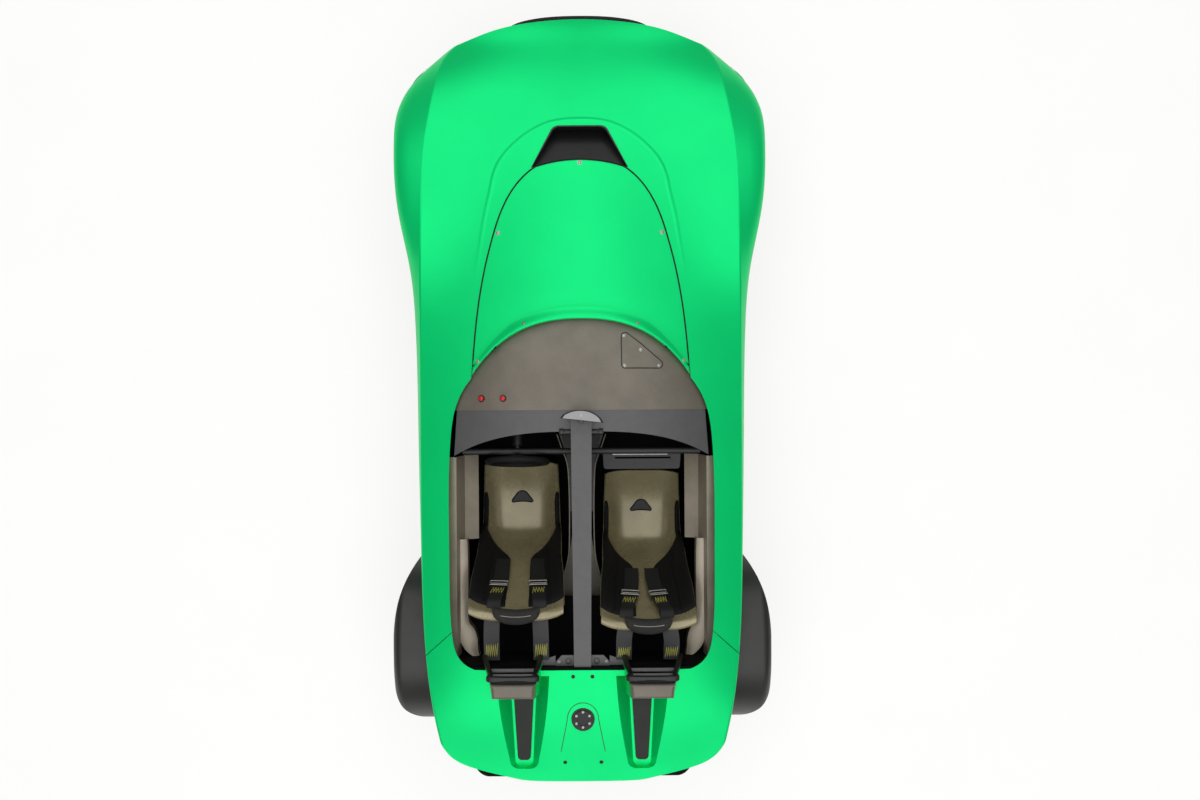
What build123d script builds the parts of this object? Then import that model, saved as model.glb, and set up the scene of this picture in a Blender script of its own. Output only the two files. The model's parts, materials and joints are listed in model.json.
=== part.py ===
"""Open two-seat sports car: satin body shells over a narrow frame, on four road wheels.

Millimetres. +X points forward, +Y to the car's left, +Z up. The origin is on the ground, under the
middle of the overall box. Each piece is written to its own STEP file under parts/.
"""

import math
import os
from collections import namedtuple
from functools import lru_cache

from build123d import *

# Overall layout. Places along the car are drawn for a length of 3600 and stretched with LENGTH.
LENGTH = 3600
STRETCH = LENGTH / 3600
FRONT_AXLE_X = 1125 * STRETCH
REAR_AXLE_X = -1150 * STRETCH
FRONT_TRACK = 1410
REAR_TRACK = 1440
FLOOR_Z = 100
FLOOR_T = 12
TALL = 1500

# Wheels and tyres
FRONT_TYRE_OD = 557
FRONT_TYRE_WIDTH = 195
REAR_TYRE_OD = 577
REAR_TYRE_WIDTH = 245
RIM_D = 381
SPOKES = 10
SPOKE_LEAN = 26
HUB_R = 62
SPINDLE_R = 20
RUNNING = 0.05
DISC_R = 140

# Steering
KINGPIN_Y = 650
STEER_ARM = 110
RACK_Z = 222
RACK_R = 12
COLUMN_TILT = 8
STEERING_WHEEL_D = 292
STEERING_WHEEL_X = -316 * STRETCH
STEERING_WHEEL_Z = 610

# Suspension and frames
ARM_R = 11
BALL_R = 20
LOWER_BALL, UPPER_BALL = 121, 129
LOWER_SPREAD, UPPER_SPREAD = 150, 120
FRAME_Y, FRAME_HALF = 270, 16
FRAME_LOW_Z, FRAME_HIGH_Z = 170, 400
FRAME_FRONT_X = FRONT_AXLE_X + 349
REAR_FRAME_Y = 300
REAR_FRAME_X = REAR_AXLE_X - 320
REAR_UPRIGHT_Y = 585
REAR_BALL = 125
SHAFT_R = SPINDLE_R - 2
FLANGE_Y = REAR_UPRIGHT_Y + 82

# Body shell
WALL = 8
FIT = 0.5
SHUT_GAP = 4
EDGE_FILLET = 14
TAIL_X = -1732 * STRETCH
FRONT_ARCH_R = FRONT_TYRE_OD / 2 + 17.5
HEM_DROP = 90
REBATE = 14
LIP_HEIGHT = 22

# Rear mudguards
MUD_A, MUD_B = 388, 330
MUD_OUTER_Y = 858
MUD_INNER_Y = 606
MUD_FILLET = 46

# Headlamps
LAMP_X, LAMP_Y, LAMP_Z = 1450 * STRETCH, 742, 440
LAMP_ANGLE = 51
LAMP_LENGTH, LAMP_HEIGHT = 130, 58

# Rear deck
TROUGH_Y = 262
TROUGH_FRONT_X, TROUGH_REAR_X = -1240 * STRETCH, -1672 * STRETCH
TROUGH_END_R = 29
FILLER_X = -1435 * STRETCH
FILLER_R = 51

# Nose
MOUTH_Z0, MOUTH_Z1 = 262, 396
MOUTH_Y = 430
CHIN_T = 18

# Lower sides, tail and floor
SKIRT_FRONT_X, SKIRT_REAR_X = 640 * STRETCH, -690 * STRETCH
TUB_Y = 640
TUB_NARROW_Y = 560
TUB_FRONT_X = 342 * STRETCH
TUB_WALL = 12
TUB_TOP = 560
REAR_WALL_X = -955 * STRETCH
JACK_X = (250 * STRETCH, -600 * STRETCH)
JACK_Y = 560
SHELF_Z = 500
FASCIA_INSET = 20
DIFFUSER_Z = FRAME_LOW_Z - FRAME_HALF

# Cockpit
DASH_INSET = 24
DASH_REAR_X = -84 * STRETCH
DASH_RIM = 20
BULKHEAD_X = -1195 * STRETCH
BULKHEAD_TOP = 745
BULKHEAD_Y = TUB_NARROW_Y + 8
SPINE_Z = BULKHEAD_TOP + 10
MIRROR_X, MIRROR_Z = -112 * STRETCH, 872
SILL_FRONT_X = -292 * STRETCH
CROSS_BAR_X, CROSS_BAR_Z, CROSS_BAR_R = -268 * STRETCH, 646, 14
SEAT_Y = 288
SEAT_SHIFT = 45 * STRETCH
SEAT_T = 8
SEAT_STATIONS = 13
PAD_T = 14
PAD_SPAN = (48, 178)
PAD_FOOT_Z = 330
STRAP_Y = 110
STRAP_WIDTH = 70
STRAP_T = 4
HOOD_T = 12
CAP_Z = 925

# Seat: side view of its inner face from the front edge to the top, half width and bolster height along it
SEAT_PATH = [(-335, 252), (-430, 205), (-560, 172), (-680, 190), (-765, 320), (-845, 500), (-958, 790)]
SEAT_HALF_WIDTH = [172, 176, 180, 186, 188, 200, 206]
SEAT_BOLSTER = [30, 60, 84, 96, 96, 78, 36]
SEAT_ACROSS = (-1, -0.85, -0.6, -0.3, 0, 0.3, 0.6, 0.85, 1)

# Plan corners that neighbouring panels share
BONNET_CORNER = (57, 485)
BONNET_NOSE = (1006, 200)
DUCT_FRONT = (1195, 118)
DUCT_REAR = (1000, 218)

STATION = "x crown bulge_y bulge_z edge_y edge_z shoulder_y shoulder_z flank_y flank_z hem_y hem_z"
Station = namedtuple("Station", STATION)

# Lines plan of the body, front to rear: crown on the centre line, low point beside the bonnet, crease
# on the wing, rounded shoulder, widest point of the flank, and hem.
LINES = [
    Station(1750, 446, 190, 444, 368, 424, 386, 385, 400, 330, 388, 140),
    Station(1608, 502, 320, 498, 560, 472, 580, 440, 590, 390, 575, 140),
    Station(1500, 541, 360, 538, 632, 524, 678, 490, 706, 425, 690, 140),
    Station(1400, 574, 390, 570, 655, 572, 738, 536, 785, 468, 766, 140),
    Station(1265, 611, 415, 600, 675, 618, 775, 588, 836, 520, 822, 148),
    Station(1125, 642, 440, 622, 692, 652, 794, 630, 842, 572, 832, 160),
    Station(850, 692, 470, 642, 710, 652, 788, 625, 830, 560, 800, 220),
    Station(560, 737, 500, 664, 719, 640, 755, 600, 776, 530, 745, 300),
    Station(300, 767, 520, 690, 721, 634, 742, 590, 752, 510, 730, 350),
    Station(-250, 802, 540, 716, 720, 645, 735, 585, 741, 510, 722, 370),
    Station(-750, 814, 540, 746, 714, 676, 724, 610, 727, 540, 705, 400),
    Station(-1170, 806, 520, 776, 692, 718, 700, 660, 702, 600, 676, 440),
    Station(-1450, 766, 480, 748, 655, 712, 660, 660, 661, 610, 632, 450),
    Station(-1790, 680, 430, 672, 590, 655, 592, 620, 592, 585, 562, 450),
]


# Small helpers

def biggest(shape):
    """The largest solid of a boolean result."""
    return max(shape.solids(), key=lambda s: s.volume)


def mirrored(shape):
    """The same piece on the other side of the car."""
    return mirror(shape, about=Plane.XZ)


def pair(shape):
    """A piece and its mirror image, as one shape of separate solids."""
    return Compound(children=[*shape.solids(), *mirrored(shape).solids()])


def block(x0, x1, y0, y1, z0, z1):
    """Box between two opposite corners."""
    centre = ((x0 + x1) / 2, (y0 + y1) / 2, (z0 + z1) / 2)
    return Pos(*centre) * Box(abs(x1 - x0), abs(y1 - y0), abs(z1 - z0))


def prism(face, z0=0, z1=TALL):
    """A plan outline raised from z0 to z1."""
    return Pos(0, 0, z0) * extrude(face, z1 - z0, dir=(0, 0, 1))


def flat(points):
    """Drawn plan points as places in the ground plane, stretched along the car."""
    return [(x * STRETCH, y, 0) for x, y in points]


def plan_polygon(points):
    """Face in the ground plane from drawn corner points."""
    return Face(Wire.make_polygon(flat(points)))


def both_sides(points):
    """A drawn half outline, front to rear on the left, closed by its mirror image."""
    return plan_polygon(points + [(x, -y) for x, y in reversed(points) if y])


def side_splines(points):
    """A drawn flowing line on the left and its mirror image on the right, run the other way."""
    left = Edge.make_spline(flat(points))
    right = Edge.make_spline(flat([(x, -y) for x, y in reversed(points)]))
    return left, right


def moved_edge(face, amount):
    """The same outline moved out, or in if amount is negative, redrawn as plain splines."""
    runs = []
    for edge in offset(face, amount).face().outer_wire().order_edges():
        run = [edge @ (k / 8) for k in range(9)]
        if runs and (run[-1] - runs[-1][-1]).length < (run[0] - runs[-1][-1]).length:
            run.reverse()
        if runs:
            run[0] = runs[-1][-1]
        runs.append(run)
    runs[-1][-1] = runs[0][0]
    return Face(Wire([Edge.make_spline(run) for run in runs]))


def side_extrude(points, y0, y1):
    """An outline in the XZ plane, carried from y0 to y1."""
    face = Face(Wire.make_polygon([(x, y0, z) for x, z in points]))
    return extrude(face, abs(y1 - y0), dir=(0, math.copysign(1, y1 - y0), 0))


def end_extrude(points, x0, x1):
    """An outline in the YZ plane, carried from x0 to x1."""
    face = Face(Wire.make_polygon([(x0, y, z) for y, z in points]))
    return extrude(face, abs(x1 - x0), dir=(math.copysign(1, x1 - x0), 0, 0))


def tube(start, end, radius):
    """Round bar between two points."""
    start, end = Vector(start), Vector(end)
    along = end - start
    return Solid.make_cylinder(radius, along.length, Plane(origin=start, z_dir=along))


def disc(centre, radius, width, axis=(0, 1, 0)):
    """Cylinder centred on a point, its axis along Y unless told otherwise."""
    half = Vector(axis).normalized() * (width / 2)
    return tube(Vector(centre) - half, Vector(centre) + half, radius)


def spun(profile):
    """Revolve of an outline of (radius, y) points about the Y axis."""
    face = Face(Wire.make_polygon([(r, y, 0) for r, y in profile]))
    return revolve(face, axis=Axis.Y)


# Body lines

def body_section(s, inset, drop):
    """Closed wire across the car at one station, set in from the skin, with its hem lowered by drop."""
    x = s.x * STRETCH
    lean = (s.flank_y - s.hem_y) / (s.flank_z - s.hem_z)
    hem = Vector(x, s.hem_y - inset - drop * lean, s.hem_z - drop)
    flank = Vector(x, s.flank_y - inset, s.flank_z)
    shoulder = Vector(x, s.shoulder_y - 0.8 * inset, s.shoulder_z - 0.6 * inset)
    edge = Vector(x, s.edge_y - inset, s.edge_z - inset)
    bulge = Vector(x, s.bulge_y, s.bulge_z - inset)
    crown = Vector(x, 0, s.crown - inset)
    other = Plane.XZ
    side = [
        Edge.make_line(hem, flank),
        Edge.make_spline([flank, shoulder, edge], tangents=[flank - hem, edge - shoulder]),
    ]
    across = [Vector(x, -v.Y, v.Z) for v in (bulge, edge)]
    top = Edge.make_spline([edge, bulge, crown, *across])
    far = [e.mirror(other) for e in reversed(side)]
    bottom = Edge.make_line((x, -hem.Y, hem.Z), hem)
    return Wire([*side, top, *far, bottom])


@lru_cache(maxsize=None)
def body_solid(inset, drop=0):
    """The whole body as a filled volume, its skin set in by inset."""
    return Solid.make_loft([body_section(s, inset, drop) for s in LINES])


def skin_layer(top, bottom):
    """A layer that follows the skin, between two depths below it."""
    return body_solid(top) - body_solid(bottom, HEM_DROP)


# Plan outlines

def nose_edge(inset=0):
    """Left half of the body's front edge in plan, from the centre line out past the flank."""
    half = [(1724, 0), (1709, 200), (1664, 410), (1599, 572), (1556, 680)]
    half = [(x - inset / STRETCH, y) for x, y in half]
    return Edge.make_spline(flat(half), tangents=[(0, 1, 0), (-0.4, 1, 0)])


def tail_edge(inset=0):
    """Left half of the body's rear edge in plan: a round corner and a shallow arc to the centre line."""
    half = [(300, 670), (208, 648), (105, 582), (60, 490), (20, 330), (0, 0)]
    half = [(TAIL_X + x + inset, y * (1 - inset / 700), 0) for x, y in half]
    return Edge.make_spline(half, tangents=[(-1, -0.12, 0), (0, -1, 0)])


def body_plan(inset=0, side=1000):
    """Plan outline that trims the nose and the tail of the body."""
    nose, tail = nose_edge(inset), tail_edge(inset)
    corners = [nose @ 1, ((nose @ 1).X, side, 0), ((tail @ 0).X, side, 0), tail @ 0]
    left = [nose, *Wire.make_polygon(corners, close=False).edges(), tail]
    right = [e.mirror(Plane.XZ) for e in reversed(left)]
    return Face(Wire([*left, *right]))


def cockpit_arch():
    """Rear edge of the bonnet, an arch round the front of the cockpit."""
    half = [BONNET_CORNER, (136, 426), (232, 316), (296, 163)]
    return Edge.make_spline(flat(half + [(312, 0)] + [(x, -y) for x, y in reversed(half)]))


def bonnet_plan():
    """Outline of the bonnet: front arc, flowing sides, arched rear edge."""
    right, tip, left = flat([(BONNET_NOSE[0], -BONNET_NOSE[1]), (1037, 0), BONNET_NOSE])
    nose = Edge.make_three_point_arc(right, tip, left)
    left, right = side_splines([BONNET_NOSE, (850, 334), (707, 387), (450, 445), BONNET_CORNER])
    return Face(Wire([nose, left, cockpit_arch(), right]))


def lip_plan():
    """Crescent along the bonnet's rear edge that stands up as a wind deflector."""
    half = [BONNET_CORNER, (176, 430), (284, 318), (350, 163)]
    front = Edge.make_spline(flat(half + [(368, 0)] + [(x, -y) for x, y in reversed(half)]))
    return Face(Wire([cockpit_arch(), front]))


def cockpit_plan():
    """Outline of the open cockpit, from the bonnet's arch to the rear deck."""
    side = [BONNET_CORNER, (-84, 560), (-217, 580), (-740, 585), (-1050, 573), (-1160, 545), (-1215, 470)]
    left, right = side_splines(side)
    rear = Edge.make_line(left @ 1, right @ 0)
    return Face(Wire([left, rear, right, cockpit_arch()]))


def duct_plan(inset=0):
    """Outline of the air outlet ahead of the bonnet, narrower at its front."""
    half = [(DUCT_FRONT[0] - inset, DUCT_FRONT[1] - inset), (DUCT_REAR[0] + inset, DUCT_REAR[1] - inset)]
    face = both_sides(half)
    middle = (DUCT_FRONT[0] + DUCT_REAR[0]) / 2 * STRETCH
    return face.fillet_2d(40, [v for v in face.vertices() if v.X > middle])


def tail_zone(back=0):
    """Everything behind the slanting joints between the front shell and the tail."""
    inner, outer = (-1041 - back, 560), (-1207 - back, 740)
    return both_sides([inner, outer, (outer[0], 1000), (-2200, 1000)])


def hatch_plan():
    """Outline of the access cover on the passenger's side of the scuttle."""
    face = plan_polygon([(275, -178), (205, -270), (98, -392), (98, -178)])
    return face.fillet_2d(18, face.vertices())


# Body shells

def wheel_arch_cut():
    """Both front wheel openings."""
    arch = disc((FRONT_AXLE_X, 780, FRONT_TYRE_OD / 2), FRONT_ARCH_R, 400)
    return pair(arch)


def mudguard_form(inset):
    """Filled form of the left rear mudguard: an elliptic arch with a round outer edge and tapered ends."""
    base_z, reach, outer = REAR_TYRE_OD / 2, MUD_A - inset, MUD_OUTER_Y - inset
    inner, round_r = MUD_INNER_Y - inset, MUD_FILLET - inset

    def ellipse(y, shrink):
        centre = Plane(origin=(REAR_AXLE_X, y, base_z), x_dir=(1, 0, 0), z_dir=(0, 1, 0))
        return centre * Ellipse(reach - shrink, MUD_B - inset - shrink)

    arch = extrude(ellipse(inner, 0), outer - round_r - inner)
    rings = []
    for turn in (0, 30, 60, 90):
        turn = math.radians(turn)
        ring = ellipse(outer - round_r * (1 - math.sin(turn)), round_r * (1 - math.cos(turn)))
        rings.append(ring.wire())
    arch = arch + Solid.make_loft(rings)
    outline = Edge.make_spline([
        (REAR_AXLE_X + reach, outer - 106, 0), (REAR_AXLE_X + reach - 183, outer - 23, 0),
        (REAR_AXLE_X - 73, outer, 0), (REAR_AXLE_X - reach + 106, outer - 20, 0),
        (REAR_AXLE_X - reach, outer - 140, 0),
    ])
    front, rear = outline @ 0, outline @ 1
    back = Wire.make_polygon([rear, (rear.X, 500, 0), (front.X, 500, 0), front], close=False)
    form = arch & prism(Face(Wire([outline, *back.edges()])))
    return biggest(form & block(REAR_AXLE_X - 900, 0, 500, 1000, base_z - 20, TALL))


def rear_mudguard():
    """Left rear mudguard: thin shell open to the wheel, with a lip round the wheel opening."""
    shell = mudguard_form(0) - mudguard_form(WALL)
    opening = disc((REAR_AXLE_X, MUD_OUTER_Y, REAR_TYRE_OD / 2), REAR_TYRE_OD / 2 + 14, 300)
    below = block(REAR_AXLE_X - 900, 0, 500, 1000, 0, REAR_TYRE_OD / 2 - 19)
    return biggest(shell - opening - below)


def mudguard_cut():
    """Clearance for both rear mudguards in the body flanks."""
    centre = Plane(origin=(REAR_AXLE_X, 480, REAR_TYRE_OD / 2), x_dir=(1, 0, 0), z_dir=(0, 1, 0))
    return pair(extrude(centre * Ellipse(MUD_A + FIT, MUD_B + FIT), 500))


def headlamp_bore(grow):
    """Slanted slot that the left headlamp fills, along its own view direction."""
    look = Vector(math.cos(math.radians(LAMP_ANGLE)), math.sin(math.radians(LAMP_ANGLE)), 0)
    across = Vector(-look.Y, look.X, 0)
    face = Plane(origin=Vector(LAMP_X, LAMP_Y, LAMP_Z) - look * 80, x_dir=across, z_dir=look)
    outline = Rot(0, 0, -18) * SlotOverall(LAMP_LENGTH + 2 * grow, LAMP_HEIGHT + 2 * grow)
    return extrude(face * outline, 220)


def body_shell():
    """The trimmed skin of the whole car, before it is split into panels."""
    skin = body_solid(0)
    creases = [e for e in skin.edges() if e.length > LENGTH * 0.8 and e.center().Z > 600]
    skin = skin.fillet(EDGE_FILLET, creases)
    shell = skin - body_solid(WALL, HEM_DROP)
    shell = shell & prism(body_plan())
    return shell - wheel_arch_cut() - mudguard_cut() - prism(cockpit_plan())


def bonnet_rebate():
    """Stepped flange under both sides of the bonnet, clear of the scuttle and of the duct."""
    seat_depth = WALL + FIT
    bonnet = prism(bonnet_plan())
    outer = prism(moved_edge(bonnet_plan(), REBATE)) - bonnet
    inner = bonnet - prism(moved_edge(bonnet_plan(), -REBATE))
    flange = (outer & skin_layer(WALL - 1, seat_depth + 4)) + (inner & skin_layer(seat_depth, seat_depth + 4))
    scuttle = prism(moved_edge(cockpit_plan(), DASH_RIM + 3))
    return flange - scuttle - prism(duct_plan(-3))


def front_clamshell(shell):
    """Nose, front wings and cockpit sides, with the bonnet, duct and lamp openings cut."""
    panel = shell - prism(tail_zone()) - prism(bonnet_plan()) - prism(duct_plan())
    return biggest(panel - pair(headlamp_bore(0)) + bonnet_rebate())


def bonnet_panel():
    """Bonnet with its raised lip round the front of the cockpit."""
    outline = prism(moved_edge(bonnet_plan(), -SHUT_GAP))
    lip = (prism(lip_plan()) & outline & body_solid(-LIP_HEIGHT)) - body_solid(1)
    return biggest((outline & skin_layer(0, WALL)) + biggest(lip))


def trough_form(grow):
    """Tapered channel behind the left headrest, shallow and rounded at its rear end."""
    def section(x, floor_y, floor_z, top_y, top_z):
        slope = (top_y - floor_y) / (top_z - floor_z)
        high_y = floor_y + slope * (900 - floor_z)
        points = [(floor_y, floor_z), (high_y, 900), (-high_y, 900), (-floor_y, floor_z)]
        return Wire.make_polygon([(x, TROUGH_Y + y, z) for y, z in points])

    front = section(TROUGH_FRONT_X + grow, 60 + grow, 698 - grow, 116 + grow, 800)
    rear = section(TROUGH_REAR_X - grow, 38 + grow, 672 - grow, 62 + grow, 710)
    form = Solid.make_loft([front, rear], ruled=True)
    ends = [e for e in form.edges() if abs(e.center().X - TROUGH_REAR_X + grow) < 1 and e.length > 150]
    upright = [e for e in ends if abs((e @ 0).Z - (e @ 1).Z) > 100]
    return form.fillet(TROUGH_END_R + grow, upright)


def tail_clamshell(shell):
    """Rear deck with the two headrest channels and the filler hole."""
    panel = biggest(shell & prism(tail_zone(SHUT_GAP)))
    tray = (trough_form(WALL) - trough_form(0)) & body_solid(0)
    panel = panel - trough_form(0) - mirrored(trough_form(0))
    panel = panel + tray + mirrored(tray)
    return biggest(panel - tube((FILLER_X, 0, 700), (FILLER_X, 0, 830), FILLER_R))


def filler_cap():
    """Round fuel filler cap with a stepped rim."""
    cap = tube((FILLER_X, 0, 735), (FILLER_X, 0, 778), FILLER_R - FIT)
    cap = cap + tube((FILLER_X, 0, 778), (FILLER_X, 0, 784), FILLER_R - 12)
    return cap - tube((FILLER_X, 0, 780), (FILLER_X, 0, 790), FILLER_R - 24)


def channel_strip():
    """Dark strip that lies along the floor of the left channel."""
    floor = trough_form(-FIT / 2)
    raised = Pos(0, 0, 6) * floor
    edge = plan_polygon([(-1318, 308), (-1640, 290), (-1640, 234), (-1318, 216)])
    rear = [v for v in edge.vertices() if v.X < -1600 * STRETCH]
    return biggest((floor - raised) & prism(edge.fillet_2d(18, rear)))


def bonnet_duct():
    """Tray of the air outlet: side walls and a ramp that rises to the bonnet."""
    tray = prism(duct_plan(FIT)) & body_solid(2)
    front, rear = (DUCT_FRONT[0] + 50) * STRETCH, (DUCT_REAR[0] - 50) * STRETCH
    ramp = [(front, 520), (rear, 652), (rear, 900), (front, 900)]
    under = [(x, z - WALL) for x, z in ramp[:2]] + ramp[2:]
    tray = tray & side_extrude(under, -400, 400)
    hollow = prism(duct_plan(6)) & side_extrude(ramp, -400, 400)
    return biggest(tray - hollow - prism(bonnet_plan()))


# Nose

def chin_line(drop=0):
    """Side view of the chin's top face, from its raised tip down to the floor."""
    tip = LENGTH / 2
    return [(tip, 272 - drop), (tip - 110, 226 - drop), (tip - 380, FLOOR_Z + CHIN_T - drop)]


def under_chin():
    """Everything below the chin's top face."""
    line = chin_line()
    return side_extrude([*line, (line[-1][0], 0), (line[0][0], 0)], -700, 700)


def nose_wall(front, back, side=560):
    """Curved wall that follows the nose in plan, between two insets."""
    wall = prism(body_plan(front), FLOOR_Z, TALL) - prism(body_plan(back))
    return wall & block(FRONT_AXLE_X, LENGTH, -side, side, 0, TALL)


def mouth_opening(grow=0):
    """Rounded opening of the air intake, through the nose from front to back."""
    face = Plane(origin=(FRONT_AXLE_X, 0, (MOUTH_Z0 + MOUTH_Z1) / 2), x_dir=(0, 1, 0), z_dir=(1, 0, 0))
    height = MOUTH_Z1 - MOUTH_Z0
    return extrude(face * RectangleRounded(2 * (MOUTH_Y + grow), height + 2 * grow, 50 + grow), LENGTH / 2)


def nose_surround():
    """Dark surround of the air intake, under the nose's lip and standing on the chin."""
    wall = nose_wall(14, 14 + WALL) & body_solid(WALL + FIT, HEM_DROP)
    return biggest(wall - mouth_opening() - under_chin())


def nose_grille():
    """Slats and uprights across the air intake."""
    layer = nose_wall(16, 16 + WALL) & mouth_opening(-FIT)
    bars = layer - mouth_opening(-8)
    for z in range(MOUTH_Z0 + 22, MOUTH_Z1, 30):
        bars = bars + (layer & block(FRONT_AXLE_X, LENGTH, -600, 600, z - 4, z + 4))
    for y in range(-380, 381, 95):
        bars = bars + (layer & block(FRONT_AXLE_X, LENGTH, y - 5, y + 5, 0, 600))
    return biggest(bars)


def chin_splitter():
    """Chin under the air intake: a thin plate that rises to a round tip."""
    half = [(1800, 0), (1796, 140), (1784, 240), (1756, 330), (1690, 392)]
    left = Edge.make_spline(flat(half), tangents=[(0, 1, 0), (-1, 0.3, 0)])
    corner, end = flat([(1420, 560), (1420, 0)])
    run = [left, Edge.make_line(left @ 1, corner), Edge.make_line(corner, end)]
    face = Face(Wire([*run, *[e.mirror(Plane.XZ) for e in reversed(run)]]))
    line = chin_line()
    plate = side_extrude([*line, *reversed(chin_line(CHIN_T))], -700, 700)
    return biggest(plate & prism(face))


def headlamp():
    """Left headlamp: lens that stands a little proud of the wing, closed behind."""
    layer = body_solid(-5) - body_solid(22, HEM_DROP)
    return biggest(headlamp_bore(-FIT) & layer)


# Lower sides, tail and floor

def side_skirt():
    """Left lower side panel, from the floor to the inside of the flank."""
    sill = [(TUB_Y, FLOOR_Z), (684, FLOOR_Z), (700, 150), (704, 330), (TUB_Y, 330)]
    ledge = [(TUB_Y, 330), (704, 330), (780, 345), (780, 430), (TUB_Y, 430)]
    upper = end_extrude(ledge, SKIRT_REAR_X, SKIRT_FRONT_X) & body_solid(WALL + FIT, HEM_DROP)
    return biggest(end_extrude(sill, SKIRT_REAR_X, SKIRT_FRONT_X) + upper - mudguard_cut())


def floor_tub():
    """Cockpit tub: floor, side walls and firewall, narrower between the rear wheels."""
    def outline(wall, shift):
        half = [
            (TUB_FRONT_X - wall, TUB_Y - wall), (SKIRT_REAR_X - 20 + shift, TUB_Y - wall),
            (SKIRT_REAR_X - 90 + shift, TUB_NARROW_Y - wall), (REAR_WALL_X, TUB_NARROW_Y - wall),
        ]
        return both_sides([(x / STRETCH, y) for x, y in half])

    tub = prism(outline(0, 0), FLOOR_Z, TUB_TOP)
    tub = tub - prism(outline(TUB_WALL, TUB_WALL / 2), FLOOR_Z + FLOOR_T, TALL)
    for x in JACK_X:
        for y in (-JACK_Y, JACK_Y):
            tub = tub + block(x - 30, x + 30, y - 30, y + 30, FLOOR_Z - 8, FLOOR_Z)
    return biggest(tub)


def rear_bulkhead():
    """Stepped panel behind the seats: lower wall, shelf over the axle and upper wall."""
    lower = [(REAR_WALL_X, FLOOR_Z), (REAR_WALL_X, SHELF_Z)]
    face_line = [*lower, (BULKHEAD_X, SHELF_Z), (BULKHEAD_X, BULKHEAD_TOP)]
    back_line = [(x - 10, z - 10 if z == SHELF_Z else z) for x, z in face_line]
    panel = side_extrude(face_line + back_line[::-1], -BULKHEAD_Y, BULKHEAD_Y)
    rail_y = BULKHEAD_Y - 12
    deck_rail = block(TROUGH_FRONT_X + 10, BULKHEAD_X - 10, -rail_y, rail_y, BULKHEAD_TOP - 45, TALL)
    panel = panel + (deck_rail & body_solid(WALL + FIT))
    return biggest(panel)


def rear_fascia():
    """Dark rear panel under the lip of the tail."""
    wall = prism(body_plan(FASCIA_INSET), 430, TALL) - prism(body_plan(FASCIA_INSET + WALL))
    wall = wall & block(-LENGTH, -1450 * STRETCH, -598, 598, 0, TALL)
    return biggest(wall & body_solid(WALL + FIT, HEM_DROP))


def tail_lamp():
    """Left tail lamp, a curved light bar on the rear panel."""
    bar = prism(body_plan(FASCIA_INSET - 12), 545, 585) - prism(body_plan(FASCIA_INSET - FIT))
    return biggest(bar & block(-LENGTH, -1500 * STRETCH, 330, 590, 0, TALL))


def diffuser():
    """Rear floor panel that sweeps up to the tail, with upright strakes and an opening for the pipes."""
    rear, start = -LENGTH / 2, REAR_FRAME_X + 90
    top = [(start, 0), (start - 120, 0), (rear + 160, 60), (rear + 60, 146), (rear, 246)]
    profile = [(x, DIFFUSER_Z + z) for x, z in top]
    profile = profile + [(x - 2, DIFFUSER_Z + z - 8) for x, z in reversed(top)]
    panel = side_extrude([(max(x, rear), z) for x, z in profile], -560, 560)
    outline = both_sides([(x / STRETCH, y) for x, y in [(start, 430), (start - 140, 520), (rear, 548)]])
    corners = [v for v in outline.vertices() if v.X < rear + 10]
    panel = panel & prism(outline.fillet_2d(100, corners), 0, TALL)
    strake = [(start - 120, DIFFUSER_Z - 60), (rear + 60, DIFFUSER_Z + 40), (rear + 40, DIFFUSER_Z + 150)]
    strake = strake + [(rear + 60, DIFFUSER_Z + 140), (rear + 160, DIFFUSER_Z + 55), (start - 120, DIFFUSER_Z - 4)]
    for y in (-400, -200, 200, 400):
        panel = panel + side_extrude(strake, y - 4, y + 4)
    pipe_notch = block(rear, rear + 150, -140, 140, 0, TALL)
    return biggest(panel - pipe_notch)


# Cockpit trim

def dash_panel():
    """Scuttle panel a little below the bonnet's lip, its upturned rim under the bonnet and the shell."""
    ahead = block(DASH_REAR_X, LENGTH / 2, -700, 700, 0, TALL)
    outer = prism(moved_edge(cockpit_plan(), DASH_RIM)) & ahead
    rim_inner = prism(moved_edge(cockpit_plan(), DASH_RIM - WALL))
    hatch = prism(moved_edge(hatch_plan(), 1))
    panel = outer & skin_layer(DASH_INSET, DASH_INSET + WALL)
    upstand = (outer - rim_inner) & skin_layer(WALL + FIT, DASH_INSET + WALL)
    return biggest(panel + upstand - hatch)


def dash_hatch():
    """Access cover, flush in the scuttle panel."""
    return biggest(prism(hatch_plan()) & skin_layer(DASH_INSET - 2, DASH_INSET + WALL - 2))


def dash_beam():
    """Dash under the scuttle's rear edge, arched over each footwell."""
    front_x = DASH_REAR_X / STRETCH - FIT
    left, right = side_splines([(-285, 565), (-215, 400), (-182, 200), (-178, 0)])
    corners = flat([(-285, -565), (front_x, -552), (front_x, 552), (-285, 565)])
    front = Wire.make_polygon(corners, close=False)
    face = Face(Wire([*front.edges(), left, right]))
    opening = prism(moved_edge(cockpit_plan(), -3))
    return biggest(prism(face) & opening & skin_layer(DASH_INSET, DASH_INSET + 70))


def cross_bar():
    """Tube under the dash from side to side, with a slotted tray on the passenger's side."""
    ends = [(CROSS_BAR_X, y, CROSS_BAR_Z) for y in (-530, 530)]
    bar = tube(*ends, CROSS_BAR_R)
    tray = plan_polygon([(-262, -96), (-350, -100), (-350, -440), (-262, -446)])
    tray = tray.fillet_2d(14, [v for v in tray.vertices() if v.X < CROSS_BAR_X])
    slot = plan_polygon([(-296, -150), (-304, -150), (-304, -400), (-296, -400)])
    tray = prism(tray, CROSS_BAR_Z - CROSS_BAR_R, CROSS_BAR_Z - CROSS_BAR_R + WALL) - prism(slot)
    return biggest(bar + tray - dash_beam())


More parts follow.
